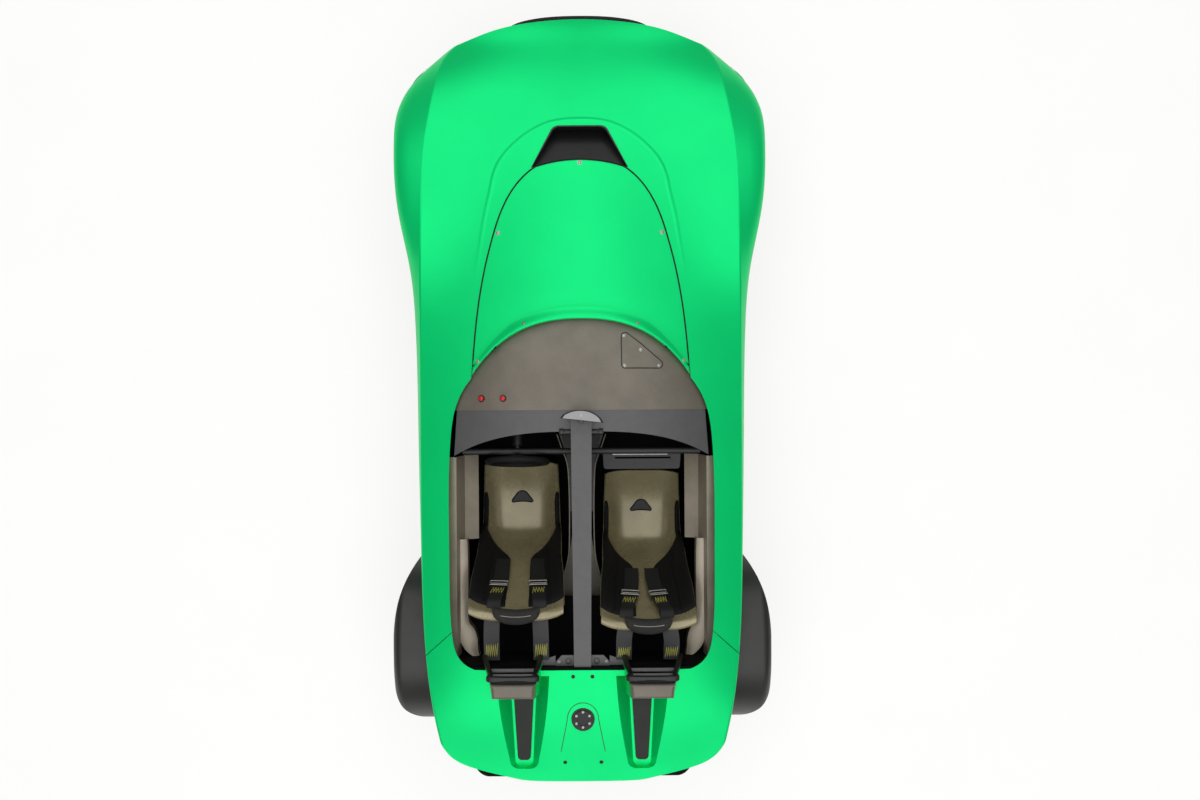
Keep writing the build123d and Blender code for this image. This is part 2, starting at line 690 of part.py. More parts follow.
def centre_spine():
    """Flat bar over the tunnel from the dash to the rear bulkhead, with its bolted foot."""
    front, bend, rear = -92 * STRETCH, -200 * STRETCH, BULKHEAD_X - 10
    top, bottom = 806, 772
    upper = [(front, bottom), (front, top), (bend, top), (rear, top - 21)]
    profile = [*upper, (rear, SPINE_Z), (rear + 50, SPINE_Z), (bend, bottom)]
    bar = side_extrude(profile, -46, 46)
    bar = bar & prism(both_sides([(front / STRETCH, 46), (rear / STRETCH, 37)]))
    bar = bar - (body_solid(DASH_INSET - FIT) & block(bend + 5, 0, -100, 100, 0, TALL))
    foot = both_sides([(rear / STRETCH + 46, 92), (rear / STRETCH + 20, 116), (rear / STRETCH, 120)])
    return biggest(bar + prism(foot, BULKHEAD_TOP, SPINE_Z))


def mirror_unit():
    """Rear-view mirror on a short post, turned towards the driver."""
    post = tube((MIRROR_X - 16, 0, 806), (MIRROR_X - 16, 0, MIRROR_Z), 9)
    half = Edge.make_spline([(0, -100, 0), (26, -82, 0), (48, 0, 0), (26, 82, 0), (0, 100, 0)])
    face = Face(Wire([half, Edge.make_line(half @ 1, half @ 0)]))
    head = extrude(face, 58)
    head = head.fillet(8, [e for e in head.edges() if e.length > 150])
    head = Pos(MIRROR_X - 24, 0, MIRROR_Z - 29) * Rot(0, 0, 10) * head
    return biggest(head + post)


def tunnel():
    """Transmission tunnel between the seats, waisted in plan."""
    front, rear = (TUB_FRONT_X - TUB_WALL) / STRETCH, REAR_WALL_X / STRETCH
    left, right = side_splines([(front, 150), (-120, 130), (-330, 62), (-760, 60), (rear, 125)])
    ends = [Edge.make_line(left @ 1, right @ 0), Edge.make_line(right @ 1, left @ 0)]
    return biggest(prism(Face(Wire([left, ends[0], right, ends[1]])), FLOOR_Z + FLOOR_T, 400))


def sill_trim():
    """Left inner side trim of the cockpit: a folded strip on the tub's wall that runs back to the bulkhead."""
    inside = [(TUB_Y, TUB_TOP), (614, 651), (558, 664), (539, 474), (478, 442)]
    outside = [(483, 432), (549, 467), (567, 651), (606, 642), (TUB_Y - TUB_WALL, TUB_TOP)]
    front = end_extrude(inside + outside, SILL_FRONT_X, SKIRT_REAR_X + 10)
    foot = [(TUB_NARROW_Y - TUB_WALL, TUB_TOP), (TUB_NARROW_Y, TUB_TOP)]
    upper = [(606, 653), (558, 664), *foot, (567, 651), (604, 643)]
    rear = end_extrude(upper, SKIRT_REAR_X + 12, BULKHEAD_X + 6)
    return biggest(front + rear)


# Seats and belts

def blend(values, share):
    """Value part way along a list, share running from 0 to 1."""
    place = share * (len(values) - 1)
    k = min(int(place), len(values) - 2)
    return values[k] + (values[k + 1] - values[k]) * (place - k)


def seat_layer(low, high, spread=0):
    """Layer between two heights above the seat's inner face, flat in the middle, rising to the bolsters."""
    line = Edge.make_spline([(x * STRETCH, 0, z) for x, z in SEAT_PATH])
    wires = []
    for k in range(SEAT_STATIONS):
        share = k / (SEAT_STATIONS - 1)
        frame = Plane(origin=line @ share, x_dir=(0, 1, 0), z_dir=line % share)
        half, depth = blend(SEAT_HALF_WIDTH, share), blend(SEAT_BOLSTER, share)
        lower = [((half + spread) * f, -(depth * f**4 + low(f)), 0) for f in SEAT_ACROSS]
        upper = [(half * f, -(depth * f**4 + high), 0) for f in SEAT_ACROSS]
        lower = [frame.from_local_coords(p) for p in lower]
        upper = [frame.from_local_coords(p) for p in upper]
        edges = [Edge.make_spline(lower), Edge.make_line(lower[-1], upper[-1])]
        edges += [Edge.make_spline(upper[::-1]), Edge.make_line(upper[0], lower[0])]
        wires.append(Wire(edges))
    return Solid.make_loft(wires, ruled=True)


def seat(shift):
    """Moulded seat on its two floor rails; shift moves it back."""
    whole = seat_layer(lambda f: -SEAT_T * (1 - f**8), 0, SEAT_T)
    sitter = seat_layer(lambda f: -SEAT_T / 2, 90)
    for y in (-110, 110):
        rail = block(-660 * STRETCH, -440 * STRETCH, y - 15, y + 15, FLOOR_Z + FLOOR_T, 240)
        whole = whole + (rail - sitter)
    return Pos(-shift, 0, 0) * biggest(whole)


def seat_pad(shift, side):
    """One of the two back pads, beside the bare strip up the middle of the seat."""
    zone = block(-LENGTH / 2, 0, side * PAD_SPAN[0], side * PAD_SPAN[1], PAD_FOOT_Z, TALL)
    return Pos(-shift, 0, 0) * biggest(seat_layer(lambda f: FIT, PAD_T) & zone)


def strap(shift, y):
    """Shoulder strap from the bulkhead, over the seat's top and down its back."""
    line = [(x * STRETCH, z) for x, z in [(-800, 520), (-926, 805), (-955, 834), (-990, 832)]]
    outer = [(x + 3, z + STRAP_T) for x, z in line]
    line.append((BULKHEAD_X + shift, 735))
    outer.append((BULKHEAD_X + shift, 735 + STRAP_T))
    band = side_extrude(line + outer[::-1], y - STRAP_WIDTH / 2, y + STRAP_WIDTH / 2)
    return Pos(-shift, 0, 0) * biggest(band)


def seat_pair(piece, *sides):
    """The same seat piece for the driver and, set further back, for the passenger."""
    driver = Compound(children=[piece(0, side) for side in sides])
    passenger = Compound(children=[piece(SEAT_SHIFT, side) for side in sides])
    return Pos(0, SEAT_Y, 0) * driver, Pos(0, -SEAT_Y, 0) * passenger


# Headrests

def hood_form(grow):
    """Filled form of the left headrest hood, leaning back and narrowing upwards and rearwards."""
    def ring(front, rear, z):
        corners = [
            (front[0] + grow, front[1] - grow), (front[0] + grow, front[2] + grow),
            (rear[0] - grow, rear[2] + grow), (rear[0] - grow, rear[1] - grow),
        ]
        return Wire.make_polygon([(x, y, z) for x, y in corners])

    base = ring((BULKHEAD_X + 32, 168, 452), (BULKHEAD_X - 132, 178, 404), 690 - grow)
    top = ring((BULKHEAD_X - 40, 202, 384), (BULKHEAD_X - 96, 205, 381), 1000 + grow)
    return Solid.make_loft([base, top], ruled=True)


def hood_pocket(grow):
    """Hollow of the left hood, open to the front and below."""
    return Pos(26, 0, -26) * hood_form(grow)


def hood_shell():
    """Left roll-over hood before its top is parted off: open at the front, seated on the rear deck."""
    form = hood_form(0)
    form = form.fillet(16, [e for e in form.edges() if e.center().Z > 850])
    behind = BULKHEAD_X - 10
    deck = body_solid(-FIT) & block(-LENGTH, behind, -800, 800, 0, TALL)
    over_bulkhead = block(behind, BULKHEAD_X + 200, 0, 600, 0, SPINE_Z + 1)
    return biggest(form - hood_pocket(-HOOD_T) - deck - over_bulkhead)


def headrest_hood():
    """Painted lower part of the left hood."""
    return biggest(hood_shell() & block(-LENGTH, 0, 0, 900, 0, CAP_Z))


def headrest_cap():
    """Dark top of the left hood."""
    return biggest(hood_shell() & block(-LENGTH, 0, 0, 900, CAP_Z, TALL))


def headrest_grille():
    """Black padded slats in the mouth of the left hood."""
    slats = block(BULKHEAD_X - 90, BULKHEAD_X - 42, 100, 600, 838, 950)
    return biggest(hood_pocket(-HOOD_T - FIT) & slats)


# Running gear

def tyre(od, width):
    """Tyre with rounded shoulders and bulged walls, hollow over the rim."""
    r, half, bead = od / 2, width / 2, RIM_D / 2
    outer = [
        (bead, -half + 16), (bead + 18, -half + 5), (bead + 45, -half),
        (r - 30, -half + 5), (r - 8, -half + 20), (r, -half + 42),
    ]
    profile = outer + [(p, -y) for p, y in reversed(outer)]
    inner = [(bead + 4, half - 24), (r - 18, half - 30), (r - 18, 30 - half), (bead + 4, 24 - half)]
    return spun(profile) - spun(inner)


def rim(width, inner_reach):
    """Alloy wheel centred on the origin, its face towards +Y, with the brake disc behind it."""
    bead, half = RIM_D / 2 - FIT, width / 2 - 14
    barrel = [
        (bead, -half), (bead, half), (bead - 8, half), (bead - 14, half - 16), (bead - 22, half - 40),
        (bead - 24, 0), (bead - 14, -half + 20), (bead - 8, -half),
    ]
    bore, hub_face = SPINDLE_R + RUNNING, half - 24
    hub = spun([(bore, inner_reach), (bore, hub_face), (HUB_R, hub_face - 10), (HUB_R, inner_reach)])
    wheel = spun(barrel) + hub
    spoke = side_extrude([(HUB_R - 12, -9), (bead - 14, -14), (bead - 14, 14), (HUB_R - 12, 9)], 0, 22)
    spoke = Pos(0, half - 46, 0) * spoke
    for k in range(SPOKES // 2):
        for lean in (-SPOKE_LEAN / 2, SPOKE_LEAN / 2):
            wheel = wheel + Rot(0, 720 / SPOKES * k + lean, 0) * spoke
    plate = disc((0, inner_reach + 16, 0), DISC_R, 22) - disc((0, inner_reach + 16, 0), HUB_R - 4, 30)
    return biggest(wheel + plate)


def placed_wheel(shape, axle_x, side_y, od, side):
    """A wheel piece made at the origin, set on its axle on one side of the car."""
    if side < 0:
        shape = mirrored(shape)
    return Pos(axle_x, side * side_y, od / 2) * shape


def knuckle():
    """Left front knuckle: upright, spindle, steering arm and brake caliper."""
    z = FRONT_TYRE_OD / 2
    foot, head = z - LOWER_BALL + BALL_R + FIT / 2, z + UPPER_BALL - BALL_R - FIT / 2
    post = tube((FRONT_AXLE_X, KINGPIN_Y, foot), (FRONT_AXLE_X, KINGPIN_Y, head), 19)
    spindle = tube((FRONT_AXLE_X, KINGPIN_Y, z), (FRONT_AXLE_X, FRONT_TRACK / 2 + 70, z), SPINDLE_R)
    arm_end = (FRONT_AXLE_X + STEER_ARM, KINGPIN_Y - 6, RACK_Z + 28)
    arm = tube((FRONT_AXLE_X, KINGPIN_Y, RACK_Z + 28), arm_end, 11) + disc(arm_end, 17, 18, (0, 0, 1))
    bridge = block(FRONT_AXLE_X - 128, FRONT_AXLE_X - 12, KINGPIN_Y - 14, KINGPIN_Y + 2, z - 24, z + 24)
    return biggest(post + spindle + arm + bridge)


def wishbone(apex, spread, pivot_y, pivot_z):
    """Two tubes from the frame rail that meet at a ball end."""
    whole = Solid.make_sphere(BALL_R, Plane(origin=apex))
    for dx in (-spread, spread):
        whole = whole + tube((apex[0] + dx, pivot_y, pivot_z), apex, ARM_R)
    return biggest(whole - block(-LENGTH, LENGTH, 0, pivot_y, 0, 900))


def front_wishbones():
    """Left lower and upper front wishbones, from the frame to the knuckle's ends."""
    z, y = FRONT_TYRE_OD / 2, FRAME_Y + FRAME_HALF
    low = wishbone((FRONT_AXLE_X, KINGPIN_Y, z - LOWER_BALL), LOWER_SPREAD, y, FRAME_LOW_Z)
    high = wishbone((FRONT_AXLE_X, KINGPIN_Y, z + UPPER_BALL), UPPER_SPREAD, y, FRAME_HIGH_Z)
    return Compound(children=[low, high])


def rear_wishbones():
    """Left lower and upper rear wishbones."""
    z, y = REAR_TYRE_OD / 2, REAR_FRAME_Y + FRAME_HALF
    low = wishbone((REAR_AXLE_X, REAR_UPRIGHT_Y, z - REAR_BALL), LOWER_SPREAD, y, FRAME_LOW_Z)
    high = wishbone((REAR_AXLE_X, REAR_UPRIGHT_Y, z + REAR_BALL), LOWER_SPREAD, y, FRAME_HIGH_Z)
    return Compound(children=[low, high])


def tube_frame(end_x, wall_x, y, posts):
    """Square-tube frame from a cabin wall to its far end: two rails a side, posts and end cross members."""
    low, high, half = FRAME_LOW_Z, FRAME_HIGH_Z, FRAME_HALF
    side = block(end_x, wall_x, y - half, y + half, low - half, low + half)
    side = side + block(end_x, wall_x, y - half, y + half, high - half, high + half)
    for x in posts:
        side = side + block(x - 14, x + 14, y - 14, y + 14, low, high)
    frame = side + mirrored(side)
    inwards = math.copysign(2 * half, wall_x - end_x)
    for z in (low, high):
        frame = frame + block(end_x, end_x + inwards, -y, y, z - half, z + half)
    return biggest(frame)


def front_frame():
    """Frame that carries the engine, the radiator and the front suspension."""
    posts = (FRONT_AXLE_X - 125, FRONT_AXLE_X + 150, FRAME_FRONT_X - 14)
    return tube_frame(FRAME_FRONT_X, TUB_FRONT_X, FRAME_Y, posts)


def rear_frame():
    """Frame round the final drive."""
    posts = (REAR_AXLE_X + 150, REAR_AXLE_X - 150, REAR_FRAME_X + 14)
    return tube_frame(REAR_FRAME_X, REAR_WALL_X - 10, REAR_FRAME_Y, posts)


def rear_upright():
    """Left rear upright with the bearing bore for the driven stub axle."""
    z = REAR_TYRE_OD / 2
    reach = REAR_BALL - BALL_R - FIT / 2
    post = tube((REAR_AXLE_X, REAR_UPRIGHT_Y, z - reach), (REAR_AXLE_X, REAR_UPRIGHT_Y, z + reach), 19)
    housing = disc((REAR_AXLE_X, REAR_UPRIGHT_Y, z), 52, 60)
    return biggest(post + housing - disc((REAR_AXLE_X, REAR_UPRIGHT_Y, z), SHAFT_R + RUNNING, 100))


def driveshaft():
    """Left driveshaft with its two joints and stub axle; it turns with the wheel."""
    z = REAR_TYRE_OD / 2
    shaft = tube((REAR_AXLE_X, 142, z), (REAR_AXLE_X, REAR_TRACK / 2 + 60, z), SHAFT_R)
    for y in (160, 520):
        shaft = shaft + disc((REAR_AXLE_X, y, z), 42, 50)
    return biggest(shaft + disc((REAR_AXLE_X, FLANGE_Y - 20, z), HUB_R - 8, 40))


def differential():
    """Final drive housing with its side mounts on the rear frame."""
    z = REAR_TYRE_OD / 2
    case = block(REAR_AXLE_X - 110, REAR_AXLE_X + 130, -132, 132, z - 100, z + 95)
    case = case.fillet(28, case.edges().filter_by(Axis.Y))
    y = REAR_FRAME_Y - FRAME_HALF
    return biggest(case + block(REAR_AXLE_X - 30, REAR_AXLE_X + 30, -y, y, z - 125, z - 98))


def engine():
    """Engine as one plain mass on its two frame mounts, with cam cover and sump."""
    rear, front = TUB_FRONT_X + 58, FRONT_AXLE_X - 265
    case = block(rear, front, -150, 150, 230, 560)
    case = case.fillet(24, case.edges().filter_by(Axis.X))
    whole = case + block(rear + 30, front - 30, -110, 110, 540, 628)
    whole = whole + block(rear + 50, front - 50, -120, 120, 130, 240)
    middle, y = (rear + front) / 2, FRAME_Y - FRAME_HALF
    for s in (-1, 1):
        whole = whole + block(middle - 30, middle + 30, s * 140, s * y, 240, 290)
        whole = whole + block(middle - 30, middle + 30, s * (y - 24), s * y, FRAME_LOW_Z - 8, 290)
    return biggest(whole)


def radiator():
    """Radiator core behind the air intake, on the frame's front cross members."""
    return block(FRAME_FRONT_X, FRAME_FRONT_X + 48, -300, 300, 160, 412)


def exhaust():
    """Rear silencer on the frame's end, with two tail pipes."""
    back, pipe_z, pipe_r = REAR_FRAME_X, 350, 32
    box = block(back - 170, back - 20, -260, 260, 205, 330)
    whole = box.fillet(40, box.edges().filter_by(Axis.Y))
    for s in (-1, 1):
        y = s * 70
        hanger = block(back - 60, back, s * 230, s * (REAR_FRAME_Y + 10), 170, 186)
        hanger = hanger + block(back - 60, back - 36, s * 200, s * 250, 170, 240)
        pipe = tube((back - 150, y, pipe_z - 50), (back - 230, y, pipe_z), pipe_r)
        pipe = pipe + tube((back - 225, y, pipe_z), (back - 305, y, pipe_z), pipe_r)
        bore = tube((back - 230, y, pipe_z), (back - 310, y, pipe_z), pipe_r - 4)
        whole = whole + hanger + pipe - bore
    return biggest(whole)


def damper():
    """Left front coil-over damper, from the lower wishbone's rear arm to the frame's upper rail."""
    inner_y = FRAME_Y + FRAME_HALF
    arm_start = Vector(FRONT_AXLE_X - LOWER_SPREAD, inner_y, FRAME_LOW_Z)
    arm_end = Vector(FRONT_AXLE_X, KINGPIN_Y, FRONT_TYRE_OD / 2 - LOWER_BALL)
    low = arm_start + (arm_end - arm_start) * 0.58
    high = Vector(low.X, inner_y, FRAME_HIGH_Z)
    along = (high - low).normalized()
    body = tube(low, high + along * 40, 16)
    for k in range(7):
        body = body + disc(low + along * (60 + 22 * k), 30, 9, along)
    body = body - tube(arm_start, arm_end, ARM_R + FIT / 2)
    rail = block(0, LENGTH, 0, inner_y + FIT / 2, 0, 900)
    return biggest(body - rail - block(0, LENGTH, 0, 900, 0, low.Z))


def rack_housing():
    """Steering rack tube, clamped to the frame's lower rails."""
    x, y = FRONT_AXLE_X + STEER_ARM, FRAME_Y - FRAME_HALF
    housing = tube((x, -y, RACK_Z), (x, y, RACK_Z), 2 * RACK_R)
    for s in (-1, 1):
        housing = housing + block(x - 20, x + 20, s * (y - 30), s * y, FRAME_LOW_Z + 4, RACK_Z)
    return biggest(housing - tube((x, -400, RACK_Z), (x, 400, RACK_Z), RACK_R + RUNNING))


def rack_bar():
    """Sliding rack with its two track rods, their eyes under the steering arms."""
    x, reach = FRONT_AXLE_X + STEER_ARM, KINGPIN_Y - 6
    bar = tube((x, -reach, RACK_Z), (x, reach, RACK_Z), 9)
    bar = bar + tube((x, -300, RACK_Z), (x, 300, RACK_Z), RACK_R)
    for s in (-1, 1):
        bar = bar + disc((x, s * reach, RACK_Z), 15, 22, (0, 0, 1))
    return biggest(bar)


def column_axis():
    """Unit vector of the steering column, pointing up towards the driver."""
    tilt = math.radians(COLUMN_TILT)
    return Vector(-math.cos(tilt), 0, math.sin(tilt))


def steering_column():
    """Column from the firewall to the steering wheel."""
    centre = Vector(STEERING_WHEEL_X, SEAT_Y, STEERING_WHEEL_Z)
    away = column_axis() * -1
    firewall = TUB_FRONT_X - TUB_WALL
    length = (firewall - STEERING_WHEEL_X) / away.X
    outer = tube(centre + away * 75, centre + away * (length + 20), 22)
    shaft = tube(centre + away * 18, centre + away * 80, 12)
    return biggest((outer + shaft) & block(-LENGTH, firewall, 0, 600, 0, 900))


def steering_wheel():
    """Small round wheel with three spokes and a flat boss."""
    frame = Plane(origin=(STEERING_WHEEL_X, SEAT_Y, STEERING_WHEEL_Z), x_dir=(0, 1, 0), z_dir=column_axis())
    radius = STEERING_WHEEL_D / 2 - 14
    wheel = Solid.make_torus(radius, 14, frame) + frame * (Pos(0, 0, -12) * Cylinder(46, 30))
    for angle in (0, 180, 270):
        spoke = Rot(0, 0, angle) * (Pos(radius / 2 + 10, 0, -4) * Box(radius - 10, 30, 8))
        wheel = wheel + frame * spoke
    hub_bore = Pos(0, 0, -30) * Cylinder(12 + RUNNING, 30)
    return biggest(wheel + frame * (Pos(0, 0, -26) * Cylinder(26, 20)) - frame * hub_bore)


def build():
    """Every piece of the car, by node name."""
    shell = body_shell()
    front_rim = rim(FRONT_TYRE_WIDTH, KINGPIN_Y + 30 - FRONT_TRACK / 2)
    rear_rim = rim(REAR_TYRE_WIDTH, FLANGE_Y + FIT / 2 - REAR_TRACK / 2)
    front_tyre = tyre(FRONT_TYRE_OD, FRONT_TYRE_WIDTH)
    rear_tyre = tyre(REAR_TYRE_OD, REAR_TYRE_WIDTH)
    driver_pads, passenger_pads = seat_pair(seat_pad, -1, 1)
    driver_belts, passenger_belts = seat_pair(strap, -STRAP_Y, STRAP_Y)
    pieces = {
        "front_clamshell": front_clamshell(shell),
        "tail_clamshell": tail_clamshell(shell),
        "bonnet": bonnet_panel(),
        "bonnet_duct": bonnet_duct(),
        "nose_surround": nose_surround(),
        "nose_grille": nose_grille(),
        "chin_splitter": chin_splitter(),
        "headlamps": pair(headlamp()),
        "rear_mudguards": pair(rear_mudguard()),
        "side_skirts": pair(side_skirt()),
        "floor_tub": floor_tub(),
        "rear_bulkhead": rear_bulkhead(),
        "rear_fascia": rear_fascia(),
        "tail_lamps": pair(tail_lamp()),
        "diffuser": diffuser(),
        "filler_cap": filler_cap(),
        "channel_strips": pair(channel_strip()),
        "dash_panel": dash_panel(),
        "dash_hatch": dash_hatch(),
        "dash_beam": dash_beam(),
        "cross_bar": cross_bar(),
        "centre_spine": centre_spine(),
        "mirror": mirror_unit(),
        "tunnel": tunnel(),
        "sill_trims": pair(sill_trim()),
        "driver_seat": Pos(0, SEAT_Y, 0) * seat(0),
        "passenger_seat": Pos(0, -SEAT_Y, 0) * seat(SEAT_SHIFT),
        "driver_pads": driver_pads,
        "passenger_pads": passenger_pads,
        "driver_belts": driver_belts,
        "passenger_belts": passenger_belts,
        "headrest_hoods": pair(headrest_hood()),
        "headrest_caps": pair(headrest_cap()),
        "headrest_grilles": pair(headrest_grille()),
        "engine": engine(),
        "radiator": radiator(),
        "exhaust": exhaust(),
        "differential": differential(),
        "front_frame": front_frame(),
        "rear_frame": rear_frame(),
        "front_wishbones": pair(front_wishbones()),
        "rear_wishbones": pair(rear_wishbones()),
        "rear_uprights": pair(rear_upright()),
        "front_dampers": pair(damper()),
        "rack_housing": rack_housing(),
        "steering_column": steering_column(),
        "left_knuckle": knuckle(),
        "right_knuckle": mirrored(knuckle()),
        "rack_bar": rack_bar(),
        "steering_wheel": steering_wheel(),
        "rear_left_driveshaft": driveshaft(),
        "rear_right_driveshaft": mirrored(driveshaft()),
    }
    for name, side in (("left", 1), ("right", -1)):
        front = (FRONT_AXLE_X, FRONT_TRACK / 2, FRONT_TYRE_OD, side)
        rear = (REAR_AXLE_X, REAR_TRACK / 2, REAR_TYRE_OD, side)
        pieces[f"front_{name}_tyre"] = placed_wheel(front_tyre, *front)
        pieces[f"front_{name}_rim"] = placed_wheel(front_rim, *front)
        pieces[f"rear_{name}_tyre"] = placed_wheel(rear_tyre, *rear)
        pieces[f"rear_{name}_rim"] = placed_wheel(rear_rim, *rear)
    return pieces


if __name__ == "__main__":
    os.makedirs("parts", exist_ok=True)
    for node, piece in build().items():
        export_step(piece, f"parts/{node}.step")
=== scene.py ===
"""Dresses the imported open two-seat sports car: camera, light, materials and fine detail."""

import json
import math

import bmesh
import bpy
import numpy as np
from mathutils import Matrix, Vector


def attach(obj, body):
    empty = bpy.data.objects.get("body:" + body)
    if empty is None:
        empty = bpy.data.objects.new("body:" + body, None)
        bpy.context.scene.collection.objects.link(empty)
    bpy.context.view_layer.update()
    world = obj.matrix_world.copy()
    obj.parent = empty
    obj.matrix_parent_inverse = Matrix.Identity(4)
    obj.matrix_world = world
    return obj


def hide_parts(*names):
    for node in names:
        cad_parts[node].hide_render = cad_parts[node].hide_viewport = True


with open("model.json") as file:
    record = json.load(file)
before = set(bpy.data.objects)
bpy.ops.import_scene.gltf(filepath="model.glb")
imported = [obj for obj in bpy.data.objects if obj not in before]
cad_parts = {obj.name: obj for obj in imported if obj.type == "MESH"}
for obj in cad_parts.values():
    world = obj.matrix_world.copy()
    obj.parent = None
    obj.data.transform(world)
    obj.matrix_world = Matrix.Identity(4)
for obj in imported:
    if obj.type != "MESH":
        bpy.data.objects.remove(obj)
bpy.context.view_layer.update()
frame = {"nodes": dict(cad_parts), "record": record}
nodes = frame["nodes"]
scene = bpy.context.scene

SIDES = (1, -1)
UP, DOWN = Vector((0, 0, 1)), Vector((0, 0, -1))

# Height from which rays look down on the car
ABOVE = 3.0

# Camera: straight above, nose at the top of the picture
CAMERA_X, CAMERA_HEIGHT = -0.040, 6.0
FOCAL_PX, PICTURE_PX = 1196, 1200
AXIS_PX = 581
ROLL = math.radians(0.36)
SENSOR_MM = 36
VIEW_END = 100


def make_camera():
    """Camera above the car, its axis shifted to the picture's own centre line."""
    data = bpy.data.cameras.new("camera")
    data.sensor_width = SENSOR_MM
    data.lens = SENSOR_MM * FOCAL_PX / PICTURE_PX
    data.shift_x = (PICTURE_PX / 2 - AXIS_PX) / PICTURE_PX
    data.clip_end = VIEW_END
    camera = bpy.data.objects.new("camera", data)
    camera.location = (CAMERA_X, 0, CAMERA_HEIGHT)
    camera.rotation_euler = (0, 0, -math.pi / 2 - ROLL)
    scene.collection.objects.link(camera)
    scene.camera = camera


make_camera()


# Materials

def srgb(r, g, b):
    """Linear colour from 0-255 screen values."""
    return tuple(pow(c / 255, 2.2) for c in (r, g, b)) + (1,)


def new_material(name):
    """Empty material with its node tree and shader."""
    mat = bpy.data.materials.new(name)
    mat.use_nodes = True
    return mat, mat.node_tree, mat.node_tree.nodes["Principled BSDF"]


def feed(tree, made, inputs):
    """Set a node's inputs to values or to other nodes' outputs."""
    for key, value in inputs.items():
        if isinstance(value, bpy.types.NodeSocket):
            tree.links.new(value, made.inputs[key])
        else:
            made.inputs[key].default_value = value


def node(tree, kind, inputs, **settings):
    """New shader node with its settings and inputs."""
    made = tree.nodes.new("ShaderNode" + kind)
    for key, value in settings.items():
        setattr(made, key, value)
    feed(tree, made, inputs)
    return made


def sums(tree, operation, *inputs):
    """Output of a maths node."""
    return node(tree, "Math", dict(enumerate(inputs)), operation=operation).outputs[0]


def noise(tree, scale, detail=3):
    """Soft noise in the object's own coordinates."""
    place = node(tree, "TexCoord", {}).outputs["Object"]
    return node(tree, "TexNoise", {"Vector": place, "Scale": scale, "Detail": detail}).outputs["Fac"]


RAMP_ENDS = (0.3, 0.7)


def ramp(tree, fac, low, high):
    """Colour between two ends by a factor."""
    made = node(tree, "ValToRGB", {"Fac": fac})
    for element, place, colour in zip(made.color_ramp.elements, RAMP_ENDS, (low, high)):
        element.position = place
        element.color = colour
    return made.outputs["Color"]


def span(tree, fac, low, high):
    """Number between two ends by a factor."""
    return node(tree, "MapRange", {"Value": fac, "To Min": low, "To Max": high}).outputs["Result"]


def bump(tree, height, strength, distance):
    """Normal with a fine relief."""
    inputs = {"Height": height, "Strength": strength, "Distance": distance}
    return node(tree, "Bump", inputs).outputs["Normal"]


def shade(colour, factor):
    """Lighter or darker colour."""
    return tuple(min(1, c * factor) for c in colour[:3]) + (1,)


def drifting(tree, colour, spread, scale):
    """Colour that drifts a little over the surface."""
    return ramp(tree, noise(tree, scale), shade(colour, 1 - spread), shade(colour, 1 + spread))


GLOSS_SCALE, GRAIN_DETAIL, GRAIN_STRENGTH = 2.3, 2, 0.35


def grained(name, colour, rough, spread=0.12, scale=40, metallic=0, height=0.0002, fine=900,
            gloss_spread=0.08, specular=0.5):
    """Surface with soft colour drift, uneven gloss and a fine grain."""
    mat, tree, bsdf = new_material(name)
    feed(tree, bsdf, {
        "Base Color": drifting(tree, srgb(*colour), spread, scale),
        "Roughness": span(tree, noise(tree, scale * GLOSS_SCALE), rough - gloss_spread, rough + gloss_spread),
        "Metallic": metallic,
        "Specular IOR Level": specular,
        "Normal": bump(tree, noise(tree, fine, GRAIN_DETAIL), GRAIN_STRENGTH, height),
    })
    return mat


TOW_DRIFT, TOW_DRIFT_SCALE = 0.12, 9
WEAVE_LEAN, WEAVE_STRENGTH = 0.62, 0.4
WEAVE_GLOSS_SCALE, WEAVE_COAT_ROUGH = 14, 0.2


def woven(name, dark, light, pitch, rough, metallic=0, coat=0.4, height=0.0003):
    """Two-by-two twill of flat tows, pitch metres wide."""
    mat, tree, bsdf = new_material(name)
    x, y, z = node(tree, "SeparateXYZ", {0: node(tree, "TexCoord", {}).outputs["Object"]}).outputs
    lean = sums(tree, "MULTIPLY", z, WEAVE_LEAN)
    u = sums(tree, "DIVIDE", sums(tree, "ADD", x, lean), pitch)
    v = sums(tree, "DIVIDE", sums(tree, "SUBTRACT", y, lean), pitch)
    cell = sums(tree, "ADD", sums(tree, "FLOOR", u), sums(tree, "FLOOR", v))
    over = sums(tree, "LESS_THAN", sums(tree, "FLOORED_MODULO", cell, 4), 2)

    def crown(value):
        centred = sums(tree, "SUBTRACT", sums(tree, "FRACT", value), 0.5)
        return sums(tree, "SUBTRACT", 1, sums(tree, "MULTIPLY", centred, centred))

    relief = node(tree, "Mix", {0: over, 2: crown(u), 3: crown(v)}, data_type="FLOAT").outputs[0]
    low, high = [drifting(tree, srgb(*tow), TOW_DRIFT, TOW_DRIFT_SCALE) for tow in (dark, light)]
    feed(tree, bsdf, {
        "Base Color": node(tree, "Mix", {0: over, 6: low, 7: high}, data_type="RGBA").outputs[2],
        "Roughness": span(tree, noise(tree, WEAVE_GLOSS_SCALE), rough - 0.05, rough + 0.07),
        "Metallic": metallic,
        "Coat Weight": coat,
        "Coat Roughness": WEAVE_COAT_ROUGH,
        "Normal": bump(tree, relief, WEAVE_STRENGTH, height),
    })
    return mat


GLASS_IOR, GLASS_DRIFT_SCALE, GLASS_DARK = 1.45, 12, 0.94


def glassy(name, colour, rough, transmission=1.0):
    """Clear or tinted lens."""
    mat, tree, bsdf = new_material(name)
    feed(tree, bsdf, {
        "Base Color": ramp(tree, noise(tree, GLASS_DRIFT_SCALE), shade(colour, GLASS_DARK), colour),
        "Roughness": rough,
        "IOR": GLASS_IOR,
        "Transmission Weight": transmission,
    })
    return mat


